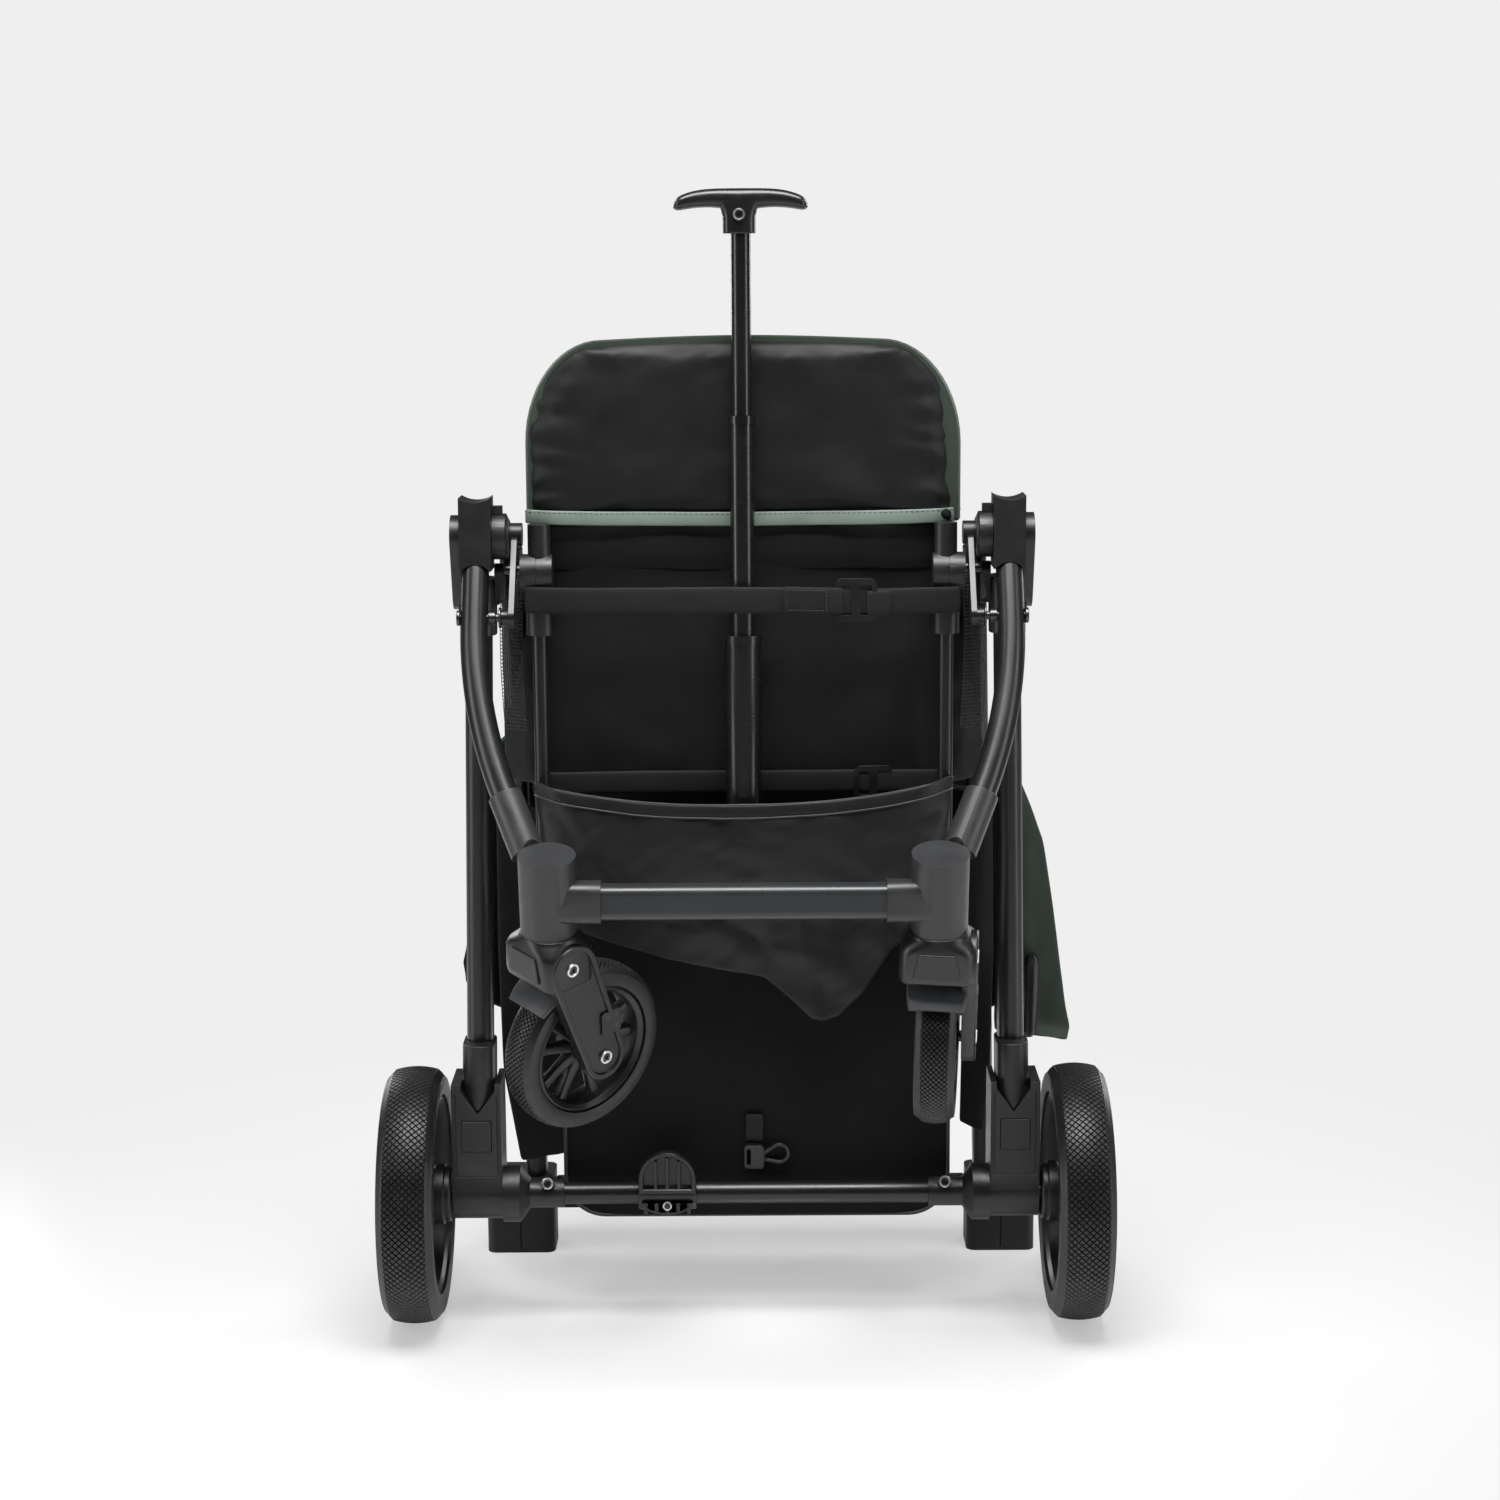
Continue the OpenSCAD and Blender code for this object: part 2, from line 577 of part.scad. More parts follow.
// ---- Canopy, folded behind the handle ----
module canopy_frame() translate([0, handle_top[1], handle_top[2]]) rotate([handle_lean, 0, 0]) children();
module canopy_rear() color("#3d473f") placed() canopy_frame()
    translate([-203, 12, -400]) cube([451, 17, 205]);
module canopy_front() color("#3d473f") placed() canopy_frame() translate([0, 42, -canopy_pivot - 115])
    rotate([90, 0, 0]) linear_extrude(12) round_rect(376, 250, 30);

rear_leg_left();
rear_leg_right();
leg_sleeves();
wheel_housing_left();
wheel_housing_right();
rear_hinges();
hinge_bolts();
axle_tube();
axle_sockets();
socket_screws();
rear_axle_pins();
basket();
front_caps();
front_leg_left();
front_leg_right();
front_sleeves();
front_hub_left();
front_hub_right();
crossbar();
link_bolts();
caster_fork_left();
caster_fork_right();
caster_fender_left();
caster_fender_right();
caster_bolts_left();
caster_bolts_right();
front_tyre_left();
front_tyre_right();
front_rim_left();
front_rim_right();
rear_tyre_left();
rear_tyre_right();
rear_rim_left();
rear_rim_right();
brake_pedal();
release_button_left();
release_button_right();
seat_tube_left();
seat_tube_right();
seat_cross_tube();
ratchet_hub_left();
ratchet_hub_right();
leg_rest();
seat_panel();
seat_straps();
strap_buckles();
rod_outer_tube();
rod_middle_tube();
rod_inner_tube();
rod_grip();
drive_links();
backrest_panel();
recline_clip();
handle_tube_left();
handle_tube_right();
handle_hinges();
handle_feet();
handle_grip();
canopy_rear();
canopy_front();
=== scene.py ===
"""Looks of the folded pet stroller: castings, wheels, fabric, webbing and small hardware."""

import json
import math

import bmesh
import bpy
from mathutils import Matrix, Vector, noise

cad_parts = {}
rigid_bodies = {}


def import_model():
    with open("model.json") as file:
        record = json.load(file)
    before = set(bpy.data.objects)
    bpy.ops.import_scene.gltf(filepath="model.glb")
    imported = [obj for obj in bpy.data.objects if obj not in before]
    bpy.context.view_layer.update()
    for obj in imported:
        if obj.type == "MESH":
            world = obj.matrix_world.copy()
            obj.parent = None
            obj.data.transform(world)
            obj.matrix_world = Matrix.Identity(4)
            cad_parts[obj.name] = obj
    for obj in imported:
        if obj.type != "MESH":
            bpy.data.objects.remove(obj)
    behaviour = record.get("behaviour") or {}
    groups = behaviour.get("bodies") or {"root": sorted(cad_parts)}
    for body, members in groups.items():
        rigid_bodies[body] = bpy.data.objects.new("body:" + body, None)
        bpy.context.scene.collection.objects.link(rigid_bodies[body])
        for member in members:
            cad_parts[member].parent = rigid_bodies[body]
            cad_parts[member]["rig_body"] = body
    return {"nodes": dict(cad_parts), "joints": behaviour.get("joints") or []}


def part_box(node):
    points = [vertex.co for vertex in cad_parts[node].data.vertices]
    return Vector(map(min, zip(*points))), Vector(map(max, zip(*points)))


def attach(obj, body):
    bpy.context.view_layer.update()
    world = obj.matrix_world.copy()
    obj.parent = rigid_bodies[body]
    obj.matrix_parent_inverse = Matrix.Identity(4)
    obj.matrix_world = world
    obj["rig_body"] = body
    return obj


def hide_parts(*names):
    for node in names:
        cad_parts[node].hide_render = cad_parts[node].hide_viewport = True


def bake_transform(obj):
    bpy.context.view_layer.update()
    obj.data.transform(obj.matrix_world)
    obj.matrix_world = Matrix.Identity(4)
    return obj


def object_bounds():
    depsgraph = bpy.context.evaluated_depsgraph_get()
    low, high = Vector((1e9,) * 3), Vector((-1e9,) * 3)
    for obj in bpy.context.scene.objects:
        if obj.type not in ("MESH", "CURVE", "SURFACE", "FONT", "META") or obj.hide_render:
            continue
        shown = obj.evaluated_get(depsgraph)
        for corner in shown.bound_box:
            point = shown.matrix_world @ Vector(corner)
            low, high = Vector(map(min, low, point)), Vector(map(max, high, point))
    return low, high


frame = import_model()
cad_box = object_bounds()

MM = 0.001
AXLE_Y = sum(corner.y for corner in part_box("axle_tube")) / 2
# From millimetres, counted from the floor under the rear axle's middle, to the part's own frame
PLACE = Matrix.Translation((0, AXLE_Y, 0)) @ Matrix.Scale(MM, 4)
SIDES = {"left": -1, "right": 1}


def at(x, y, z):
    """A point given in millimetres from the floor under the rear axle's middle."""
    return PLACE @ Vector((x, y, z))


def low(node):
    """Lowest corner of a CAD node, in millimetres from the floor under the rear axle's middle."""
    return PLACE.inverted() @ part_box(node)[0]


def high(node):
    return PLACE.inverted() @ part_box(node)[1]


def joint_frame(name):
    """Frame of a hinge in millimetres: its axis is local Z, and local Y is as upright as it can be."""
    joint = next(j for j in frame["joints"] if j["name"] == name)
    axis = Vector(joint["axis"]).normalized()
    right = Vector((0, 0, 1)).cross(axis).normalized()
    turn = Matrix((right, axis.cross(right), axis)).transposed().to_4x4()
    return Matrix.Translation(joint["pos_m"]) @ turn @ Matrix.Scale(MM, 4)


# ---- Materials ----


def shader(name, colour, roughness, metallic=0.0, sheen=0.0, coat=0.0, specular=0.5):
    """A material whose only node so far is its shader, and a function that adds a wired node."""
    material = bpy.data.materials.new(name)
    material.use_nodes = True
    tree = material.node_tree
    bsdf = tree.nodes["Principled BSDF"]
    bsdf.inputs["Base Color"].default_value = (*colour, 1)
    bsdf.inputs["Roughness"].default_value = roughness
    bsdf.inputs["Metallic"].default_value = metallic
    bsdf.inputs["Specular IOR Level"].default_value = specular
    bsdf.inputs["Coat Weight"].default_value = coat
    bsdf.inputs["Coat Roughness"].default_value = 0.25
    bsdf.inputs["Sheen Weight"].default_value = sheen
    bsdf.inputs["Sheen Roughness"].default_value = 0.45

    def add(kind, settings=None, **inputs):
        node = tree.nodes.new("ShaderNode" + kind)
        for key, value in (settings or {}).items():
            setattr(node, key, value)
        for key, value in inputs.items():
            socket = node.inputs[key.replace("_", " ")]
            if isinstance(value, bpy.types.NodeSocket):
                tree.links.new(value, socket)
            else:
                socket.default_value = value
        return node

    return material, bsdf, add, tree.links.new


def vary(bsdf, add, link, colour, roughness, patch, spread, rough_spread):
    """Slow changes of colour and gloss over patches of the given size in millimetres."""
    place = add("TexCoord").outputs["Object"]
    cloud = add("TexNoise", Vector=place, Scale=1 / (patch * MM), Detail=4.0, Roughness=0.6)
    ramp = add("ValToRGB", Fac=cloud.outputs["Fac"])
    for stop, factor in zip(ramp.color_ramp.elements, (1 - spread, 1 + spread)):
        stop.color = (*[channel * factor for channel in colour], 1)
    ramp.color_ramp.elements[0].position = 0.3
    ramp.color_ramp.elements[1].position = 0.7
    link(ramp.outputs["Color"], bsdf.inputs["Base Color"])
    gloss = add("MapRange", Value=cloud.outputs["Fac"])
    gloss.inputs["From Min"].default_value = 0.3
    gloss.inputs["From Max"].default_value = 0.7
    gloss.inputs["To Min"].default_value = roughness - rough_spread
    gloss.inputs["To Max"].default_value = roughness + rough_spread
    link(gloss.outputs["Result"], bsdf.inputs["Roughness"])
    return place


def moulded(name, colour, roughness, grain=0.5, depth=0.02, patch=18, spread=0.12, **extra):
    """Moulded plastic, rubber or powder coat: a fine grain over slow changes of colour and gloss."""
    material, bsdf, add, link = shader(name, colour, roughness, **extra)
    place = vary(bsdf, add, link, colour, roughness, patch, spread, 0.05)
    fine = add("TexNoise", Vector=place, Scale=1 / (grain * MM), Detail=2.0)
    bump = add("Bump", Height=fine.outputs["Fac"], Strength=0.6, Distance=depth * MM)
    link(bump.outputs["Normal"], bsdf.inputs["Normal"])
    return material


def woven(name, colour, roughness, thread=0.55, depth=0.05, patch=30, spread=0.1, ribs=None, **extra):
    """Cloth: two crossing sets of threads, with a fine uneven pull in each."""
    material, bsdf, add, link = shader(name, colour, roughness, **extra)
    place = vary(bsdf, add, link, colour, roughness, patch, spread, 0.06)
    scale = 0.314 / (thread * MM)
    sets = []
    for direction in ("X", "Z"):
        size = scale if ribs is None or direction == "X" else 0.314 / (ribs * MM)
        wave = add("TexWave", {"bands_direction": direction}, Vector=place, Scale=size, Distortion=0.6,
                   Detail=1.0)
        wave.inputs["Detail Scale"].default_value = 2.0
        sets.append(wave.outputs["Fac"])
    cross = add("Math", {"operation": "MULTIPLY"})
    link(sets[0], cross.inputs[0])
    link(sets[1], cross.inputs[1])
    slub = add("TexNoise", Vector=place, Scale=1 / (2.2 * MM), Detail=3.0)
    height = add("Math", {"operation": "ADD"})
    link(cross.outputs["Value"], height.inputs[0])
    link(slub.outputs["Fac"], height.inputs[1])
    bump = add("Bump", Height=height.outputs["Value"], Strength=0.5, Distance=depth * MM)
    link(bump.outputs["Normal"], bsdf.inputs["Normal"])
    return material


def plated(name, colour, roughness):
    """Plated steel with a faint turned grain."""
    material, bsdf, add, link = shader(name, colour, roughness, metallic=1.0)
    place = vary(bsdf, add, link, colour, roughness, 4, 0.08, 0.06)
    grain = add("TexNoise", Vector=place, Scale=1 / (0.25 * MM), Detail=1.0)
    bump = add("Bump", Height=grain.outputs["Fac"], Strength=0.3, Distance=0.01 * MM)
    link(bump.outputs["Normal"], bsdf.inputs["Normal"])
    return material


COAT = moulded("coat_black", (0.0058, 0.0062, 0.0068), 0.33, grain=0.35, depth=0.008, patch=60, spread=0.08)
ROD_COAT = moulded("coat_rod", (0.005, 0.0053, 0.0058), 0.28, grain=0.3, depth=0.005, patch=60, spread=0.08)
BAR_COAT = moulded("coat_crossbar", (0.021, 0.0225, 0.0245), 0.34, grain=0.3, depth=0.008, patch=50,
                   spread=0.06)
PLASTIC = moulded("plastic_casting", (0.0062, 0.0065, 0.007), 0.42, grain=0.6, depth=0.02)
HUB_PLASTIC = moulded("plastic_hub", (0.022, 0.0228, 0.024), 0.42, grain=0.6, depth=0.02)
FORK_PLASTIC = moulded("plastic_fork", (0.0062, 0.0065, 0.007), 0.38, grain=0.5, depth=0.015)
FENDER = moulded("plastic_fender", (0.042, 0.044, 0.048), 0.45, grain=0.6, depth=0.015)
SMOOTH = moulded("plastic_smooth", (0.006, 0.0063, 0.0068), 0.32, grain=0.5, depth=0.006)
TYRE = moulded("tyre_foam", (0.0055, 0.0055, 0.006), 0.45, grain=0.4, depth=0.03, patch=14, spread=0.18)
RIM = moulded("plastic_rim", (0.0055, 0.0058, 0.0062), 0.4, grain=0.5, depth=0.01)
RUBBER = moulded("rubber_foot", (0.0045, 0.0045, 0.005), 0.55, grain=0.7, depth=0.03)
FOAM = moulded("foam_grip", (0.01, 0.01, 0.011), 0.8, grain=0.9, depth=0.09)
STEEL = plated("steel_plated", (0.78, 0.79, 0.8), 0.38)
DARK_STEEL = plated("steel_black", (0.08, 0.082, 0.086), 0.35)
SEAT_CLOTH = woven("cloth_seat", (0.0045, 0.0047, 0.0054), 0.55, sheen=0.01, specular=0.25)
BASKET_CLOTH = woven("cloth_basket", (0.0072, 0.0074, 0.0082), 0.5, sheen=0.02, specular=0.3)
PANEL_CLOTH = woven("cloth_panel", (0.003, 0.0031, 0.0034), 0.7, sheen=0.0, specular=0.15)
CANOPY_CLOTH = woven("cloth_canopy", (0.0035, 0.0035, 0.0038), 0.65, sheen=0.01, specular=0.2)
GREEN_CLOTH = woven("cloth_green", (0.028, 0.04, 0.029), 0.62, sheen=0.03, specular=0.25)
SAGE_CLOTH = woven("cloth_sage", (0.15, 0.195, 0.165), 0.6, thread=0.4, sheen=0.1)
PIPING = woven("cloth_piping", (0.02, 0.021, 0.023), 0.6, thread=0.4, sheen=0.05)
WEBBING = woven("cloth_webbing", (0.0075, 0.0077, 0.0084), 0.7, specular=0.25, thread=0.9, ribs=1.4,
                depth=0.16, sheen=0.03)
NET = woven("cloth_net", (0.045, 0.04, 0.038), 0.7, thread=0.3, sheen=0.2)
THREAD = woven("thread", (0.03, 0.035, 0.032), 0.6, thread=0.2)
THREAD_BLACK = woven("thread_black", (0.02, 0.02, 0.022), 0.6, thread=0.2)


# ---- Mesh building ----


class Shape:
    """Collects the vertices and faces of one piece, in millimetres of its own frame."""

    def __init__(self, matrix=PLACE):
        self.matrix = matrix
        self.verts = []
        self.faces = []

    def add(self, verts, faces):
        first = len(self.verts)
        self.verts += [self.matrix @ Vector(v) for v in verts]
        self.faces += [[first + i for i in face] for face in faces]
        return self

    def loft(self, rings, ends=True, loop=False):
        """Skins closed rings of equally many points; loop joins the last ring to the first."""
        count = len(rings[0])
        verts = [v for ring in rings for v in ring]
        faces = []
        last = len(rings) if loop else len(rings) - 1
        for i in range(last):
            a, b = i * count, (i + 1) % len(rings) * count
            faces += [[a + j, a + (j + 1) % count, b + (j + 1) % count, b + j] for j in range(count)]
        if ends and not loop:
            faces.append(list(range(count))[::-1])
            faces.append([len(verts) - count + j for j in range(count)])
        return self.add(verts, faces)

    def lathe(self, profile, count=64, loop=False):
        """Turns (radius, z) points round local Z."""
        rings = [
            [(r * math.cos(2 * math.pi * j / count), r * math.sin(2 * math.pi * j / count), z)
             for j in range(count)]
            for r, z in profile
        ]
        return self.loft(rings, loop=loop)

    def prism(self, outline, z0, z1):
        """Extrudes an (x, y) outline along local Z."""
        return self.loft([[(x, y, z0) for x, y in outline], [(x, y, z1) for x, y in outline]])

    def box(self, a, b):
        """A block between two corners."""
        outline = [(a[0], a[1]), (b[0], a[1]), (b[0], b[1]), (a[0], b[1])]
        return self.prism(outline, a[2], b[2])

    def grid(self, rows):
        """An open surface through rows of equally many points."""
        count = len(rows[0])
        faces = [
            [i * count + j, i * count + j + 1, (i + 1) * count + j + 1, (i + 1) * count + j]
            for i in range(len(rows) - 1)
            for j in range(count - 1)
        ]
        return self.add([v for row in rows for v in row], faces)

    def sweep(self, path, radius, sides=8, closed=False):
        """A round tube along a path of points."""
        points = [Vector(p) for p in path]
        rings = []
        up = Vector((0.13, 0.31, 0.94))
        for i, p in enumerate(points):
            ahead = points[(i + 1) % len(points)] if closed or i < len(points) - 1 else p
            behind = points[i - 1] if closed or i > 0 else p
            along = (ahead - behind).normalized()
            side = along.cross(up).normalized()
            over = side.cross(along)
            rings.append(
                [
                    p + radius * (math.cos(2 * math.pi * k / sides) * side + math.sin(2 * math.pi * k / sides) * over)
                    for k in range(sides)
                ]
            )
        return self.loft(rings, loop=closed)

    def done(self, name, material, body, slot, nodes=(), bevel=0.0, segments=2, subdivide=0, angle=35,
             thick=0.0):
        """Makes the object, rides it on its body and hides the CAD nodes that it stands for."""
        obj = new_object(name, self.verts, self.faces, material, angle)
        return finish_piece(obj, body, nodes, bevel, segments, subdivide, thick)


def new_object(name, verts, faces, material, angle=35):
    mesh = bpy.data.meshes.new(name)
    mesh.from_pydata([tuple(v) for v in verts], [], faces)
    tidy = bmesh.new()
    tidy.from_mesh(mesh)
    bmesh.ops.remove_doubles(tidy, verts=tidy.verts, dist=1e-6)
    bmesh.ops.recalc_face_normals(tidy, faces=tidy.faces)
    tidy.to_mesh(mesh)
    tidy.free()
    smooth(mesh, angle)
    mesh.materials.append(material)
    obj = bpy.data.objects.new(name, mesh)
    bpy.context.scene.collection.objects.link(obj)
    return obj


def smooth(mesh, angle):
    mesh.polygons.foreach_set("use_smooth", [True] * len(mesh.polygons))
    mesh.set_sharp_from_angle(angle=math.radians(angle))


def finish_piece(obj, body, nodes=(), bevel=0.0, segments=2, subdivide=0, thick=0.0):
    if thick:
        shell = obj.modifiers.new("cloth_thickness", "SOLIDIFY")
        shell.thickness = thick * MM
        shell.offset = 0
    if bevel:
        edge = obj.modifiers.new("rounded_edges", "BEVEL")
        edge.width = bevel * MM
        edge.segments = segments
        edge.limit_method = "ANGLE"
        edge.angle_limit = math.radians(32)
        edge.harden_normals = True
    if subdivide:
        level = obj.modifiers.new("smooth_surface", "SUBSURF")
        level.levels = level.render_levels = subdivide
    if body:
        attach(obj, body)
    if nodes:
        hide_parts(*nodes)
    return obj


def cad_copy(node, material, bevel, segments=2, name=None):
    """The CAD node's own shape with its moulded edges rounded, in place of the node."""
    source = frame["nodes"][node]
    mesh = source.data.copy()
    mesh.materials.clear()
    tidy = bmesh.new()
    tidy.from_mesh(mesh)
    bmesh.ops.remove_doubles(tidy, verts=tidy.verts, dist=2e-5)
    bmesh.ops.dissolve_limit(tidy, angle_limit=math.radians(0.6), verts=tidy.verts, edges=tidy.edges)
    bmesh.ops.recalc_face_normals(tidy, faces=tidy.faces)
    tidy.to_mesh(mesh)
    tidy.free()
    smooth(mesh, 32)
    mesh.materials.append(material)
    obj = bpy.data.objects.new(name or node + "_moulded", mesh)
    bpy.context.scene.collection.objects.link(obj)
    return finish_piece(obj, source["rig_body"], (node,), bevel, segments)


def repaint(node, material):
    """A CAD node that stays as it is, with its finished material."""
    for holder in frame["nodes"][node].material_slots:
        holder.material = material


def arc(centre, radius, start, end, steps):
    """Points of an arc in a plane, with angles in degrees."""
    return [
        (
            centre[0] + radius * math.cos(math.radians(start + (end - start) * i / steps)),
            centre[1] + radius * math.sin(math.radians(start + (end - start) * i / steps)),
        )
        for i in range(steps + 1)
    ]


def rounded_outline(width, height, radius, steps=6):
    w, h = width / 2 - radius, height / 2 - radius
    corners = [((w, h), 0), ((-w, h), 90), ((-w, -h), 180), ((w, -h), 270)]
    return [p for centre, start in corners for p in arc(centre, radius, start, start + 90, steps)]


# ---- Tubes and castings that keep their CAD shape ----

for node in (
    "rear_leg_left rear_leg_right front_leg_left front_leg_right axle_tube seat_tube_left seat_tube_right "
    "seat_cross_tube handle_tube_left handle_tube_right"
).split():
    repaint(node, COAT)
for node in ("rod_outer_tube", "rod_middle_tube", "rod_inner_tube"):
    repaint(node, ROD_COAT)
repaint("crossbar", BAR_COAT)
for node in ("rear_axle_pins", "hinge_bolts"):
    repaint(node, DARK_STEEL)

CASTINGS = [
    ("wheel_housing_left", PLASTIC, 1.6),
    ("wheel_housing_right", PLASTIC, 1.6),
    ("leg_sleeves", PLASTIC, 0.8),
    ("rear_hinges", PLASTIC, 1.2),
    ("axle_sockets", PLASTIC, 0.9),
    ("front_caps", PLASTIC, 0.7),
    ("front_sleeves", HUB_PLASTIC, 0.6),
    ("front_hub_left", HUB_PLASTIC, 1.1),
    ("front_hub_right", HUB_PLASTIC, 1.1),
    ("ratchet_hub_left", PLASTIC, 1.2),
    ("ratchet_hub_right", PLASTIC, 1.2),
    ("handle_hinges", PLASTIC, 1.2),
]
for node, material, bevel in CASTINGS:
    cad_copy(node, material, bevel)
for side in SIDES:
    cad_copy("release_button_" + side, PLASTIC, 0.5)
cad_copy("link_bolts", DARK_STEEL, 0.5)
cad_copy("socket_screws", DARK_STEEL, 0.4)
cad_copy("drive_links", COAT, 0.3)
cad_copy("strap_buckles", SMOOTH, 0.6)
cad_copy("recline_clip", SMOOTH, 0.6)
cad_copy("handle_feet", RUBBER, 1.4, 3)
cad_copy("handle_grip", FOAM, 2.0, 3)


# ---- Tyres and rims ----


def tyre(joint, body, node, radius, bore, width, around, across, tread):
    """A tyre with a raised diamond tread: around cells round it and across cells over the tread's width."""
    shape = Shape(joint_frame(joint))
    pad, crown = 0.9, 0.055 * width
    groove = radius - pad
    step = math.pi / around

    def point(turn, across_at, lift):
        drop = crown * (across_at / tread) ** 2
        r = groove + lift - drop
        return (r * math.cos(turn), r * math.sin(turn), across_at)

    rows = 2 * across
    for j in range(rows + 1):
        s = tread * (2 * j / rows - 1)
        half = tread / across * 0.5
        for i in range(around):
            mid = step * (2 * i + 1 + j % 2)
            corners = [(mid - step, s), (mid, s - 2 * half), (mid + step, s), (mid, s + 2 * half)]
            corners = [c for c in corners if abs(c[1]) <= tread + 1e-6]
            keep = 0.7 if len(corners) == 4 else 0.62
            centre = (sum(c[0] for c in corners) / len(corners), sum(c[1] for c in corners) / len(corners))
            inner = [(centre[0] + (c[0] - centre[0]) * keep, centre[1] + (c[1] - centre[1]) * keep)
                     for c in corners]
            n = len(corners)
            verts = [point(*c, 0) for c in corners] + [point(*c, pad) for c in inner]
            shape.add(verts,
                      [[k, (k + 1) % n, n + (k + 1) % n, n + k] for k in range(n)] + [list(range(n, 2 * n))])
    # Shoulders with fine ribs, then plain side walls down to the rim
    ribs = 4
    count = around * ribs
    wall = radius - bore
    profile = [
        (groove - crown, 0),
        (groove - crown - 0.05 * wall, 0.28),
        (groove - crown - 0.16 * wall, 0.62),
        (radius - 0.36 * wall, 0.94),
        (radius - 0.55 * wall, 1.0),
        (bore + 0.24 * wall, 0.97),
        (bore + 0.05 * wall, 0.84),
        (bore, 0.78),
    ]
    for side in (-1, 1):
        rings = []
        for row, (r, share) in enumerate(profile):
            z = side * (tread + (width / 2 - tread) * share)
            ring = []
            for k in range(count):
                turn = 2 * step * k / ribs
                lift = 0.35 if row in (1, 2) and k % 2 else 0
                ring.append(((r + lift) * math.cos(turn), (r + lift) * math.sin(turn), z))
            rings.append(ring)
        shape.loft(rings, ends=False)
    inner = [
        [(bore * math.cos(2 * step * k / ribs), bore * math.sin(2 * step * k / ribs), z)
         for k in range(count)]
        for z in (-(tread + (width / 2 - tread) * 0.78), tread + (width / 2 - tread) * 0.78)
    ]
    shape.loft(inner, ends=False)
    return shape.done(node + "_tread", TYRE, body, "tyre_foam", (node,), angle=40)


def rim(joint, outward, radius, width, hub, hub_half, spoke):
    """A moulded rim: a dished ring, five pairs of splayed spokes and a stepped hub."""
    matrix = joint_frame(joint)
    if outward < 0:
        matrix = matrix @ Matrix.Rotation(math.pi, 4, "Y")
    shape = Shape(matrix)
    half = width / 2
    ring = [
        (radius, -half),
        (radius, half),
        (radius - 2.2, half + 1.2),
        (radius - 5.2, half - 1.5),
        (radius - 6.2, half - 6),
        (radius - 6.6, 0),
        (radius - 6.2, 6 - half),
        (radius - 5.2, 1.5 - half),
        (radius - 2.2, -half - 1.2),
    ]
    shape.lathe(ring, 96, loop=True)
    for pair in range(5):
        for lean in (-1, 1):
            start = math.radians(72 * pair + 90 + lean * 16)
            end = math.radians(72 * pair + 90 + lean * 15)
            rings = []
            for k in range(7):
                t = k / 6
                turn = start + (end - start) * t
                r = hub * 0.8 + (radius - 4 - hub * 0.8) * t
                wide = 4.6 - 1.4 * t + 1.6 * max(0, t - 0.8) * 5
                deep = spoke * (1.15 - 0.35 * math.sin(math.pi * t))
                c, s = math.cos(turn), math.sin(turn)
                outline = rounded_outline(2 * wide, 2 * deep, 1.6, 3)
                rings.append([(r * c - x * s, r * s + x * c, z) for x, z in outline])
            shape.loft(rings)
    cap = hub_half
    shape.lathe(
        [(4.2, -cap), (hub - 1, -cap), (hub, 1 - cap), (hub, cap - 2), (hub - 1.5, cap),
         (hub * 0.62, cap + 0.6),
         (hub * 0.58, cap - 1.2), (4.2, cap - 1.2)],
        56,
    )
    return shape


WHEELS = {
    "rear": dict(radius=95.0, bore=74.0, width=41.0, around=120, across=6, tread=15.5),
    "front": dict(radius=63.0, bore=48.5, width=29.0, around=100, across=5, tread=9.5),
}
for side, sign in SIDES.items():
    tyre(f"rear_wheel_spin_{side}", f"rear_wheel_{side}", f"rear_tyre_{side}", **WHEELS["rear"])
    tyre(f"front_wheel_spin_{side}", f"front_wheel_{side}", f"front_tyre_{side}", **WHEELS["front"])
    shape = rim(f"rear_wheel_spin_{side}", sign, 74, 33, 18, 17, 4.6)
    shape.lathe([(5.2, -26.5), (19, -26.8), (20.5, -25.5), (20.5, -22), (22.4, -21.2), (22.4, -14.5),
                 (21, -13), (5.2, -13)], 64)
    shape.lathe([(5.2, 13), (19.4, 13), (19.4, 16.5), (17.5, 18.6), (9, 19.6), (5.2, 19.8)], 64)
    shape.done(f"rear_rim_{side}_spoked", RIM, f"rear_wheel_{side}", "rim_plastic", (f"rear_rim_{side}",),
               bevel=0.4)
    shape = rim(f"front_wheel_spin_{side}", 1, 48.5, 23, 12.5, 14.5, 3.8)
    shape.done(f"front_rim_{side}_spoked", RIM, f"front_wheel_{side}", "rim_plastic", (f"front_rim_{side}",),
               bevel=0.3)


# ---- Cloth tools ----

UPRIGHT = PLACE @ Matrix(((1, 0, 0, 0), (0, 0, 1, 0), (0, 1, 0, 0), (0, 0, 0, 1)))  # local (x, z, y)


def evaluated_mesh(obj):
    bpy.context.view_layer.update()
    graph = bpy.context.evaluated_depsgraph_get()
    return bpy.data.meshes.new_from_object(obj.evaluated_get(graph))


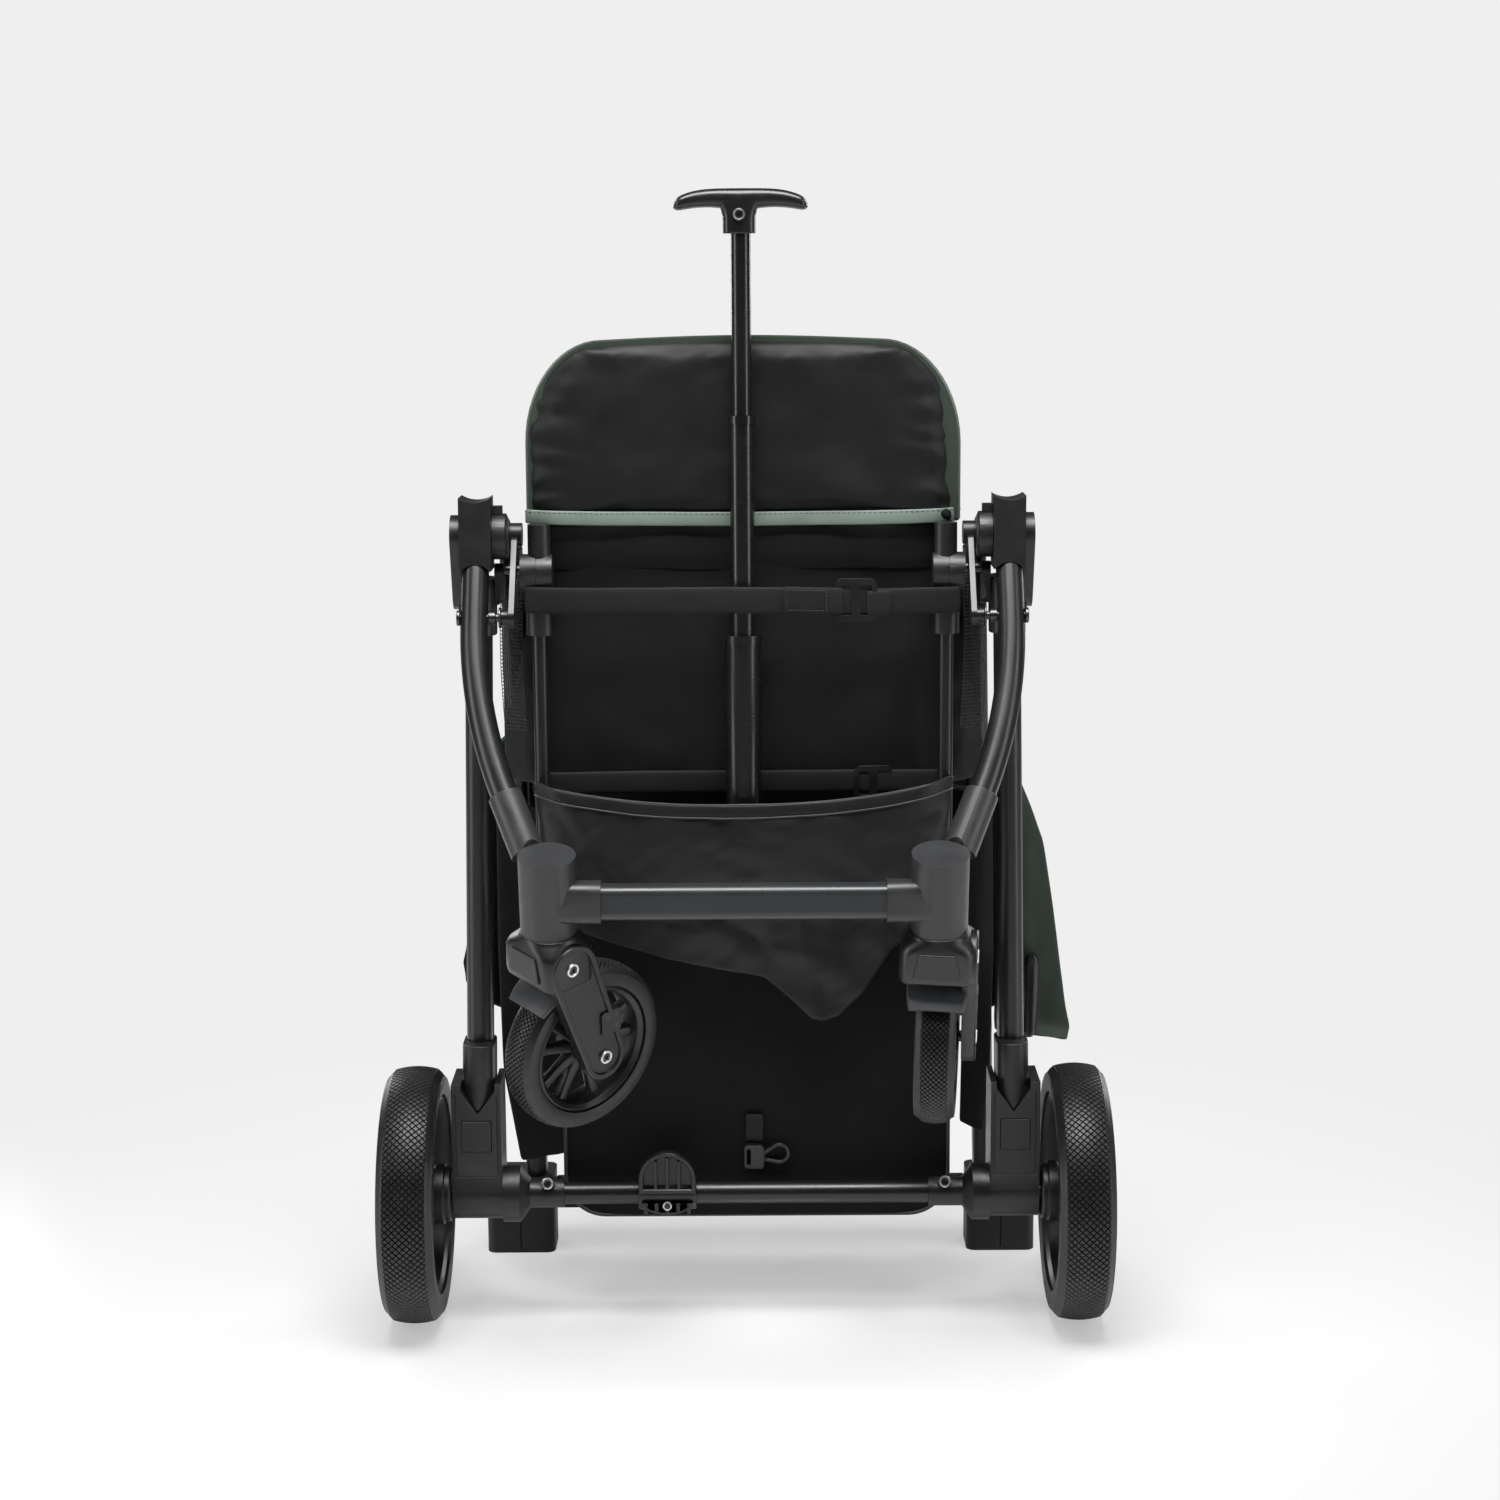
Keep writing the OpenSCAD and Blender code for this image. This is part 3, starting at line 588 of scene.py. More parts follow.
def inflate(obj, cap, voxel=5.0, pressure=4.0, frames=20):
    """Remeshes a closed piece and blows it up as stitched cloth; no point moves further than cap millimetres."""
    material = obj.data.materials[0]
    remesh = obj.modifiers.new("remesh", "REMESH")
    remesh.mode = "VOXEL"
    remesh.voxel_size = voxel * MM
    even = evaluated_mesh(obj)
    obj.modifiers.clear()
    obj.data = even
    cloth = obj.modifiers.new("cloth", "CLOTH")
    cloth.settings.use_pressure = True
    cloth.settings.uniform_pressure_force = pressure
    cloth.settings.effector_weights.gravity = 0
    start = [v.co.copy() for v in even.vertices]
    for step in range(1, frames + 1):
        bpy.context.scene.frame_set(step)
    blown = evaluated_mesh(obj)
    obj.modifiers.clear()
    obj.data = blown
    for vertex, before in zip(blown.vertices, start):
        shift = vertex.co - before
        if shift.length > cap * MM:
            vertex.co = before + shift * (cap * MM / shift.length)
    bpy.context.scene.frame_set(1)
    obj.data.materials.clear()
    obj.data.materials.append(material)
    smooth(obj.data, 180)
    return obj


def wrinkle(obj, depth):
    """Moves each point along Y by depth(x, z) millimetres; the back moves half as far."""
    back = PLACE.inverted()
    points = [back @ v.co for v in obj.data.vertices]
    middle = (min(p.y for p in points) + max(p.y for p in points)) / 2
    for vertex, p in zip(obj.data.vertices, points):
        share = 1 if p.y < middle else 0.5
        vertex.co.y -= depth(p.x, p.z) * share * MM


def wave(x, z, size_x, size_z, seed):
    """Smooth noise from -1 to 1."""
    return noise.noise(Vector((x / size_x, z / size_z, seed)))


def ridge(x, z, start, end, width, height):
    """A fold along a line: steep on one side and soft on the other."""
    a, b, p = Vector(start), Vector(end), Vector((x, z))
    run = b - a
    t = min(1, max(0, (p - a).dot(run) / run.length_squared))
    off = p - (a + run * t)
    side = 1 if run.x * off.y - run.y * off.x > 0 else 2.2
    taper = math.sin(math.pi * min(1, 0.25 + 0.75 * (1 - abs(2 * t - 1))))
    return height * math.exp(-((off.length / (width * side)) ** 2)) * taper


def surface_y(obj, x, z, fallback):
    """Y, in millimetres, where a line from the front meets a piece."""
    hit, where, _, _ = obj.ray_cast(at(x, -400, z), Vector((0, 1, 0)))
    return (PLACE.inverted() @ where).y if hit else fallback


def band(rows, name, material, body, slot, thick=0.9, subdivide=0):
    """A strip of cloth through rows of points, with a real thickness."""
    shape = Shape()
    shape.grid(rows)
    return shape.done(name, material, body, slot, thick=thick, subdivide=subdivide, angle=180)


def stitches(name, points, body, material=THREAD, length=2.3, pitch=3.8, radius=0.28):
    """A row of short threads along a list of closely spaced points."""
    shape = Shape()
    travelled, due = 0.0, 0.0
    for a, b in zip(points, points[1:]):
        a, b = Vector(a), Vector(b)
        gap = (b - a).length
        while due < travelled + gap:
            start = a + (b - a) * ((due - travelled) / gap)
            along = (b - a).normalized()
            out = Vector((0, -0.25, 0))
            shape.sweep([start, start + along * length * 0.5 + out, start + along * length], radius, 5)
            due += pitch
        travelled += gap
    return shape.done(name, material, body, None, angle=180)


# ---- Leg rest ----


def leg_rest_outline(grow=0.0, right_extra=0.0):
    """Straight sides, oval top corners and a slightly bowed top, from the lower right to the lower left."""
    bottom, top = low("leg_rest").z, high("leg_rest").z
    half = high("leg_rest").x + grow
    corner_x, corner_z, bow = 56, 74, 3
    points = [(half + right_extra, bottom)]
    for i in range(15):
        turn = math.radians(90 * i / 14)
        z = top - bow - corner_z + corner_z * math.sin(turn) + grow * i / 14
        points.append((half - corner_x + (corner_x + right_extra * (1 - i / 14)) * math.cos(turn), z))
    for i in range(1, 12):
        t = i / 12
        points.append(((half - corner_x) * (1 - 2 * t), top - bow + bow * math.sin(math.pi * t) + grow))
    points += [(-half + corner_x - corner_x * math.cos(math.radians(90 - 90 * i / 14)),
                top - bow - corner_z + corner_z * math.sin(math.radians(90 - 90 * i / 14)) + grow * (1 - i / 14))
               for i in range(15)]
    points.append((-half, bottom))
    return points


def leg_rest_folds(x, z):
    edge = max(0.0, (abs(x) - 108) / 48)
    gather = 2.6 * edge**1.5 * math.sin(z / 2.9 + 5 * wave(x, z, 60, 30, 3.1)) * max(0,
                                                                                     min(1, (716 - z) / 40))
    broad = 3.0 * wave(x + 1.1 * z, z, 75, 46, 7.7) + 1.0 * wave(x - z, z, 30, 18, 2.2)
    hem = 0.9 * math.exp(-(((z - 613) / 5) ** 2)) * math.sin(x / 9 + 3 * wave(x, 0, 40, 1, 1.4))
    return gather + broad + hem - 1.2 * math.exp(-(((z - 607) / 3) ** 2))


outline = leg_rest_outline(0.9)
outline = [(x - (6.0 * math.sin(math.pi * (z - 612) / 84) if x > 120 and 612 < z < 696 else 0), z) for x,
           z in outline]
leg_rest = Shape(UPRIGHT).prism(outline, 14.6, 25.4)
leg_rest = new_object("leg_rest_pad", leg_rest.verts, leg_rest.faces, SEAT_CLOTH)
inflate(leg_rest, 5.0, voxel=4.2)
wrinkle(leg_rest, leg_rest_folds)
finish_piece(leg_rest, "seat", ("leg_rest",), subdivide=1)

# Green back cover that shows as a narrow edge, mostly on the right
cover = leg_rest_outline(-0.6, 1.6)
cover_shape = Shape(UPRIGHT)
cover_shape.loft([[(x * s, 660 + (z - 660) * s, y) for x, z in cover]
                  for s, y in ((0.99, 17.5), (1.0, 20.5), (1.003, 23), (1.0, 26), (0.985, 28.4), (0.93, 29))])
cover_shape.done("leg_rest_cover", GREEN_CLOTH, "seat", "canopy_fabric", angle=60)

TRIM_LOW, TRIM_HIGH = 594.6, 604.8


def trim_z(x, share):
    bow = 2.2 * (1 - (x / 157) ** 2)
    return TRIM_LOW + (TRIM_HIGH - TRIM_LOW) * share - bow


trim_rows = []
for share in (0.0, 0.12, 0.5, 0.88, 1.0):
    row = []
    for i in range(81):
        x = -157.2 + 314.4 * i / 80
        lift = 0.5 + 0.7 * math.sin(math.pi * share) + 0.25 * wave(x, share, 14, 1, 5.5)
        edge = max(0, (abs(x) - 150) / 7.2) ** 2 * 4
        row.append((x, surface_y(leg_rest, max(-150, min(150, x)), 608, 13) - lift + edge, trim_z(x, share)))
    trim_rows.append(row)
band(trim_rows, "leg_rest_trim", SAGE_CLOTH, "seat", "seat_fabric", thick=0.8, subdivide=1)
stitches("trim_stitches", [(p[0], p[1] - 0.5, p[2] - 1.6) for p in trim_rows[-1]], "seat")


# ---- Seat and backrest panels ----


def seat_folds(x, z):
    sides = max(0.0, (abs(x) - 95) / 55)
    folds = 2.6 * wave(x - 0.5 * z, z, 46, 85, 4.4) + 0.9 * wave(x, z, 17, 120, 8.8) * sides
    folds += ridge(x, z, (-30, 515), (40, 470), 9, 1.1) + ridge(x, z, (-70, 430), (-20, 400), 8, 1.0)
    folds += ridge(x, z, (60, 520), (118, 440), 8, 1.2) + ridge(x, z, (-128, 500), (-100, 440), 6, 1.0)
    crease = -2.6 * math.exp(-(((z - 577) / 3.2) ** 2)) - 1.6 * max(0, min(1, (z - 580) / 8))
    return folds + crease


def panel(name, node, material, body, side, folds):
    """A sewn panel stretched over its tubes; side(z) gives its left and right edges at a height."""
    bottom, top, y0 = low(node).z, high(node).z, low(node).y
    rows = []
    for i in range(73):
        z = bottom + (top - bottom) * i / 72
        left, right = side(z)
        edge = [left + (right - left) * j / 72 for j in range(73)]
        rows.append([(x, y0 + 2.4 - folds(x, z) + 2.4 * (abs(2 * (x - left) / (right - left) - 1)) ** 10, z)
                     for x in edge])
    shape = Shape()
    shape.grid(rows)
    piece = shape.done(name, material, body, "seat_fabric", (node,), thick=2.4, subdivide=1, angle=180)


panel("seat_lining", "seat_panel", SEAT_CLOTH, "seat", lambda z: (-151, 151), seat_folds)
PANEL_LEFT, PANEL_RIGHT, PANEL_CORNER = -136, 152, 30
PANEL_LOW, PANEL_HIGH = low("backrest_panel").z, high("backrest_panel").z


def backrest_side(z):
    rise = max(0.0, PANEL_LOW + PANEL_CORNER - z) / PANEL_CORNER
    inset = PANEL_CORNER * (1 - math.sqrt(max(0.0, 1 - rise * rise)))
    return PANEL_LEFT + inset, PANEL_RIGHT - inset


def backrest_folds(x, z):
    dimple = -2.4 * math.exp(-(((x - 6) / 15) ** 2 + ((z - 146) / 11) ** 2))
    return 0.7 * wave(x, z, 90, 60, 6.1) + 0.8 * wave(x + z, z, 40, 50,
                                                      9.1) * max(0, (abs(x) - 100) / 45) + dimple


panel("backrest_lining", "backrest_panel", PANEL_CLOTH, "backrest", backrest_side, backrest_folds)
edge_path = []
for column, steps in ((0, range(40, -1, -1)), (1, range(0, 41))):
    for i in steps:
        z = PANEL_LOW + (PANEL_HIGH - PANEL_LOW) * (i / 40) ** 2
        edge_path.append((backrest_side(z)[column], low("backrest_panel").y + 3.4, z))
piping = Shape()
piping.sweep(edge_path, 1.5, 8)
piping.done("backrest_piping", PIPING, "backrest", "seat_fabric", angle=180)

# Lining that crosses the recline hinge behind both panels
hinge_rows = [
    [(x, high("seat_panel").y + 0.9 + 0.8 * wave(x, z, 30, 30, 3.3), z) for x in range(-138, 139, 6)]
    for z in range(376, 288, -4)
]
hinge_shape = Shape()
hinge_shape.grid(hinge_rows)
lining = hinge_shape.done("lining_bend", PANEL_CLOTH, None, "seat_fabric", thick=0.9, angle=180)
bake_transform(lining)


# ---- Basket ----

HEM_END, HEM_SAG = 411, 18
BASKET_HALF = 152


def hem_z(x):
    return HEM_END - HEM_SAG * (1 - min(1, abs(x) / 150) ** 2.2) - (3 if x < 0 else 0) * abs(x) / 150


def basket_low(x):
    """Lower edge of the folded basket: slack cloth that hangs in uneven points."""
    corners = [(-150, 302), (-102, 288), (-60, 276), (-20, 268), (14, 262), (34, 246), (50, 231), (60, 228),
               (72, 232),
               (92, 250), (118, 284), (150, 300)]
    for (x0, z0), (x1, z1) in zip(corners, corners[1:]):
        if x <= x1:
            t = (x - x0) / (x1 - x0)
            return z0 + (z1 - z0) * t
    return corners[-1][1]


BASKET_FOLDS = [
    ((-146, 398), (-84, 322), 7, -4.0),
    ((-120, 372), (-60, 360), 10, 1.4),
    ((146, 398), (90, 326), 7, -3.6),
    ((10, 362), (64, 338), 6, 1.6),
    ((58, 384), (106, 352), 7, 1.5),
    ((-40, 352), (8, 336), 7, 1.3),
    ((-96, 318), (-14, 296), 5, 2.2),
    ((-30, 330), (14, 284), 4, -2.4),
    ((20, 322), (-6, 268), 4, 2.4),
    ((36, 318), (54, 224), 6, 3.0),
    ((84, 312), (58, 226), 5, -2.6),
    ((104, 300), (92, 248), 5, 2.2),
    ((-70, 300), (60, 276), 5, 2.0),
]


def basket_front(x, z):
    """Y of the front cloth: full above, drawn back under the crossbar."""
    t = max(0.0, min(1.0, (z - 300) / 45))
    y = -5.5 - 17.5 * t * t * (3 - 2 * t)
    y -= 2.2 * math.sin(math.pi * min(1, max(0, (z - 330) / 75))) * (1 - (x / 152) ** 2)
    y += 15 * max(0, (abs(x) - 128) / 24) ** 2
    y -= 2.2 * wave(x + z, z, 34, 26, 1.9) + 1.0 * wave(x - 1.4 * z, z, 13, 17, 6.6)
    return y - sum(ridge(x, z, *fold) for fold in BASKET_FOLDS)


def basket_sheet(columns=84, rows=56):
    grid = []
    for i in range(rows + 1):
        t = i / rows
        row = []
        for j in range(columns + 1):
            x = BASKET_HALF * (2 * j / columns - 1)
            z = hem_z(x) + (basket_low(x) - hem_z(x)) * t
            pull = 1 - 0.1 * t * abs(x) / BASKET_HALF
            row.append((x * pull, min(4, basket_front(x * pull, z)), z))
        grid.append(row)
    return grid


front = basket_sheet()
basket_back = [[(x, max(y + 7, -13.5 if z > 325 else 2.2), z) for x, y, z in row] for row in front]
shape = Shape()
shape.grid(front)
shape.grid(basket_back)
edge = len(front[0]) - 1
for column in (0, edge):
    shape.grid([[row[column] for row in front], [row[column] for row in basket_back]])
shape.grid([front[-1], basket_back[-1]])
basket = shape.done("basket_cloth", BASKET_CLOTH, "rear_frame", "basket_fabric", ("basket",), thick=0.7,
                    angle=180)

hem_rows = []
for share in (0.0, 0.1, 0.5, 0.9, 1.0):
    hem_rows.append([(x, y - 0.7 - 0.9 * math.sin(math.pi * share), hem_z(x) + 1.0 - 8.6 * share) for x, y,
                     _ in front[1]])
band(hem_rows, "basket_hem", BASKET_CLOTH, "rear_frame", "basket_fabric", thick=0.8, subdivide=1)
cord_path = [(x, y - 0.5, z - 0.6) for x, y, z in hem_rows[-1]]
piping = Shape()
piping.sweep(cord_path[::2], 0.8, 8)
piping.done("basket_piping", PIPING, "rear_frame", "basket_fabric", angle=180)
stitches("hem_stitches", [(x, y - 0.4, z + 1.9) for x, y, z in hem_rows[-1]], "rear_frame", THREAD_BLACK)


# ---- Straps and the recline tab ----


def strap(name, body, points, width, thick=1.4, steps=60, seed=1.0):
    """Flat webbing through given points, a little uneven along its edges."""
    spans = len(points) - 1
    rows = [[], [], [], []]
    for i in range(steps + 1):
        t = min(spans - 1e-6, spans * i / steps)
        k = int(t)
        f = t - k
        f = f * f * (3 - 2 * f)
        a, b = Vector(points[k]), Vector(points[k + 1])
        p = a + (b - a) * (t - k)
        p.z = a.z + (b.z - a.z) * f
        sway = 0.5 * wave(p.x, 0, 30, 1, seed)
        for row, (share, cup) in zip(rows, ((0.5, 0.35), (0.2, 0), (-0.2, 0), (-0.5, 0.35))):
            row.append((p.x, p.y + cup + 0.3 * wave(p.x, share, 24, 1, seed + 2), p.z + width * share + sway))
    return band(rows, name, WEBBING, body, "webbing", thick=thick, subdivide=1)


front_strap = strap("front_strap", "seat", [(-157, -5.4, 541.5), (-120, -9.2, 541), (0, -14.6, 541.6),
                                            (90, -10.5, 539.5), (157, -5.4, 540)], 19.6)
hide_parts("seat_straps")
strap("front_strap_fold", "seat", [(29, -15.5, 542), (60, -14.6, 541), (72, -13.2, 540.4)], 19.4, seed=3.0,
      steps=16)
strap("front_strap_end", "seat", [(89, -12.6, 538.5), (100, -12.2, 538.8), (106, -11.6, 539)], 18.6, seed=5.0,
      steps=10)
strap("second_strap", "seat", [(-150, 11.0, 404), (-60, 14.0, 404.5), (60, 14.0, 404.5), (150, 11.0, 405)],
      17, seed=7.0)
strap("recline_tab", "backrest", [(0, 18.6, 139), (6, 18.2, 139), (13, 18.6, 139)], 22, steps=10, seed=9.0)
box_seam = [(x, -16.6, z) for x, z in ((32, 549), (60, 548.6), (60, 534), (32, 534.6), (32, 549))]
stitches("strap_box_seam", box_seam, "seat", THREAD_BLACK, length=1.8, pitch=2.6)

# ---- Folded canopy ----

CANOPY_LEAN = 0.221


def folded_canopy(name, node, material, x0, x1, depth, runs, seed):
    """One continuous sheet folded up and down behind the seat, with soft turns and bowed ends."""
    top, bottom, front_y = high(node).z - 3, low(node).z + 3, low(node).y
    rows = []
    for run in range(runs):
        offset = 1.5 + (depth - 3) * run / (runs - 1)
        steps = range(17) if run % 2 == 0 else range(16, -1, -1)
        rows += [(top - (top - bottom) * k / 16, offset) for k in steps]
        if run < runs - 1:
            turn = bottom - 2.2 if run % 2 == 0 else top + 2.2
            rows.append((turn, offset + (depth - 3) / (runs - 1) / 2))
    grid = []
    middle = (top + bottom) / 2
    for z, offset in rows:
        row = []
        for j in range(61):
            x = x0 + (x1 - x0) * j / 60
            end = abs(2 * j / 60 - 1)
            z_here = middle + (z - middle) * (1 - 0.2 * end**7) + 2.2 * wave(x, offset, 45, 9, seed)
            y = front_y + CANOPY_LEAN * (top - z_here) + offset
            y += 1.1 * wave(x, z_here, 38, 30, seed + offset) - 7 * max(0, (end - 0.86) / 0.14) ** 2
            row.append((x, y, z_here))
        grid.append(row)
    body = frame["nodes"][node]["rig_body"]
    shape = Shape()
    shape.grid(grid)
    piece = shape.done(name, material, body, "canopy_fabric", (node,), thick=1.1, subdivide=1, angle=180)


folded_canopy("canopy_shell_black", "canopy_rear", CANOPY_CLOTH, -201, 205, 17, 3, 2.5)
folded_canopy("canopy_shell_green", "canopy_front", GREEN_CLOTH, -186, 186, 12, 3, 6.5)
CANOPY_BODY = frame["nodes"]["canopy_rear"]["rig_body"]


def flap(name, material, edge, inner_x, y0, curl, seed, lining=0.0):
    """A loose canopy side: edge lists (outer x, z) from its top down, and its lower end curls forward."""
    rows = []
    for i in range(33):
        t = i / 32 * (len(edge) - 1)
        k = min(len(edge) - 2, int(t))
        outer = edge[k][0] + (edge[k + 1][0] - edge[k][0]) * (t - k)
        z = edge[k][1] + (edge[k + 1][1] - edge[k][1]) * (t - k)
        row = []
        for j in range(13):
            s = j / 12
            x = inner_x + (outer - inner_x) * s
            bend = curl * max(0, (i - 25) / 7) ** 2
            y = y0 + CANOPY_LEAN * (edge[0][1] - z) + 5 * s * s + 1.6 * wave(x, z, 12, 40,
                                                                             seed) - bend + lining
            row.append((x, y, z + (1 - s) * 10 * i / 32 + 0.6 * wave(x, z, 9, 14, seed)))
        rows.append(row)
    shape = Shape()
    shape.grid(rows)
    return shape.done(name, material, CANOPY_BODY, "canopy_fabric", thick=1.0, subdivide=1, angle=180)


RIGHT_FLAP = [(211, 388), (221, 364), (231, 336), (240, 284), (248, 230), (253, 198), (257, 180), (254, 171)]
flap("canopy_flap_green", GREEN_CLOTH, RIGHT_FLAP, 196, 101, 11, 3.7)
flap("canopy_flap_lining", CANOPY_CLOTH, [(x - 2.5, z + 1) for x, z in RIGHT_FLAP], 197, 101, 9, 3.7,
     lining=2.4)
flap("canopy_flap_left", CANOPY_CLOTH, [(-200, 300), (-214, 270), (-221, 240), (-219, 224)], -180, 112, 5,
     8.1)
flap("canopy_drop_left", CANOPY_CLOTH, [(-186, 380), (-189, 260), (-189, 160), (-178, 80)], -134, 52, 0, 5.3)
flap("canopy_drop_right", CANOPY_CLOTH, [(186, 380), (190, 260), (190, 160), (186, 104)], 167, 52, 0, 9.3)
shape = Shape(PLACE @ Matrix.Translation((223.5, 134, 210)) @ Matrix.Rotation(math.radians(12.5), 4, "X"))
shape.loft([[(x * k, y * k, z) for x, y in rounded_outline(11, 9, 4, 4)]
            for z, k in ((-36, 0.55), (-33, 0.9), (-27, 1), (27, 1), (33, 0.9), (36, 0.5))])
shape.done("canopy_end_piece", SMOOTH, CANOPY_BODY, "canopy_fabric", angle=50)

# Cloth fold between the leg rest and the seat lining, and the side wings with their net
fold_rows = []
for z, y in ((598, 23), (592, 18.4), (586.5, 19.4), (582, 17.0), (578, 18.8), (573, 18.2), (567, 19.6),
             (560, 20.6)):
    fold_rows.append([(x, y + 0.7 * wave(x, z, 26, 9, 4.9) + 3 * (abs(x) / 153) ** 8,
                       z + 1.3 * wave(x, z, 50, 20, 1.2))
                      for x in range(-153, 154, 6)])
band(fold_rows, "seat_fold", SEAT_CLOTH, "seat", "seat_fabric", thick=1.0, subdivide=1)
for side, sign in SIDES.items():
    wing, net = [], []
    for i in range(27):
        z = 566 - 6.4 * i
        wing.append([(sign * (153 + 3.2 * j), 32 + 3.2 * j + 2 * wave(j, z, 3, 22, 3 + sign), z)
                     for j in range(9)])
    band(wing, "side_wing_" + side, SEAT_CLOTH, "seat", "seat_fabric", thick=0.9, subdivide=1)
    for i in range(45):
        z = 560 - 2.7 * i
        net.append([(sign * (159 + 1.7 * j + 2.5 * math.sin(i / 14)), 24 + 1.2 * j + 2 * wave(j, z, 5, 18, 5),
                     z)
                    for j in range(11)])
    shape = Shape()
    shape.grid(net)
    mesh_net = shape.done("side_net_" + side, NET, None, None, angle=180)
    lattice = mesh_net.modifiers.new("net", "WIREFRAME")
    lattice.thickness = 0.75 * MM
    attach(mesh_net, "seat")


# ---- Ringed screws and bolts ----


def ringed_screw(name, matrix, radius, body):
    """A dark screw with a hexagon socket inside a bright ring; local Z points out of the surface."""
    ring = Shape(matrix)
    ring.lathe([(radius * 0.66, -1), (radius, -1), (radius, 0.5), (radius * 0.93, 0.95),
                (radius * 0.74, 0.95),
                (radius * 0.66, 0.4)], 40, loop=True)
    ring.done(name + "_ring", STEEL, body, "steel", angle=40)
    core = Shape(matrix)
    socket = [(0.36 * radius * math.cos(math.pi * k / 3), 0.36 * radius * math.sin(math.pi * k / 3))
              for k in range(6)]
    wide = [(0.66 * radius * math.cos(math.pi * k / 3), 0.66 * radius * math.sin(math.pi * k / 3))
            for k in range(6)]
    core.loft([[(x, y, z) for x, y in points] for points,
               z in ((wide, -1), (wide, 0.35), (socket, 0.45), (socket, -0.7))])
    core.done(name + "_core", DARK_STEEL, body, "steel", angle=30)


FACING = Matrix.Rotation(math.pi / 2, 4, "X")
for side, sign in SIDES.items():
    ringed_screw("socket_screw_" + side, PLACE @ Matrix.Translation((sign * 147.6, -10.9, 106)) @
                 Matrix.Rotation(math.radians(62), 4, "X"), 4.4, "rear_frame")
ringed_screw("grip_screw", PLACE @ Matrix.Translation((-1, -8.6, 813.5)) @ FACING, 4.2, "rod_inner")

# ---- Casters ----

TRAIL, DROP = 25.0, 130.0


def joint_line(name):
    joint = next(j for j in frame["joints"] if j["name"] == name)
    return Vector(joint["pos_m"]), Vector(joint["axis"]).normalized()


def caster_frame(side):
    """Caster frame: X along the wheel's axle, Z up the swivel axis, origin at the hub's middle."""
    wheel_at, axle = joint_line("front_wheel_spin_" + side)
    pivot_at, up = joint_line("caster_swivel_" + side)
    if up.z < 0:
        up = -up
    trail = up.cross(axle).normalized()
    if (wheel_at - pivot_at).dot(trail) < 0:
        axle, trail = -axle, -trail
    origin = wheel_at - trail * TRAIL * MM + up * DROP * MM
    return Matrix.Translation(origin) @ Matrix((axle, trail, up)).transposed().to_4x4() @ Matrix.Scale(MM, 4)


def bar_outline(a, ra, b, rb, steps=14):
    """The outline round two circles joined by straight sides, in (y, z)."""
    a, b = Vector(a), Vector(b)
    run = b - a
    heading = math.degrees(math.atan2(run.y, run.x))
    open_up = math.degrees(math.acos((ra - rb) / run.length))
    return arc(b, rb, heading - open_up, heading + open_up, steps) + arc(a, ra, heading + open_up,
                                                                         heading + 360 - open_up, steps)


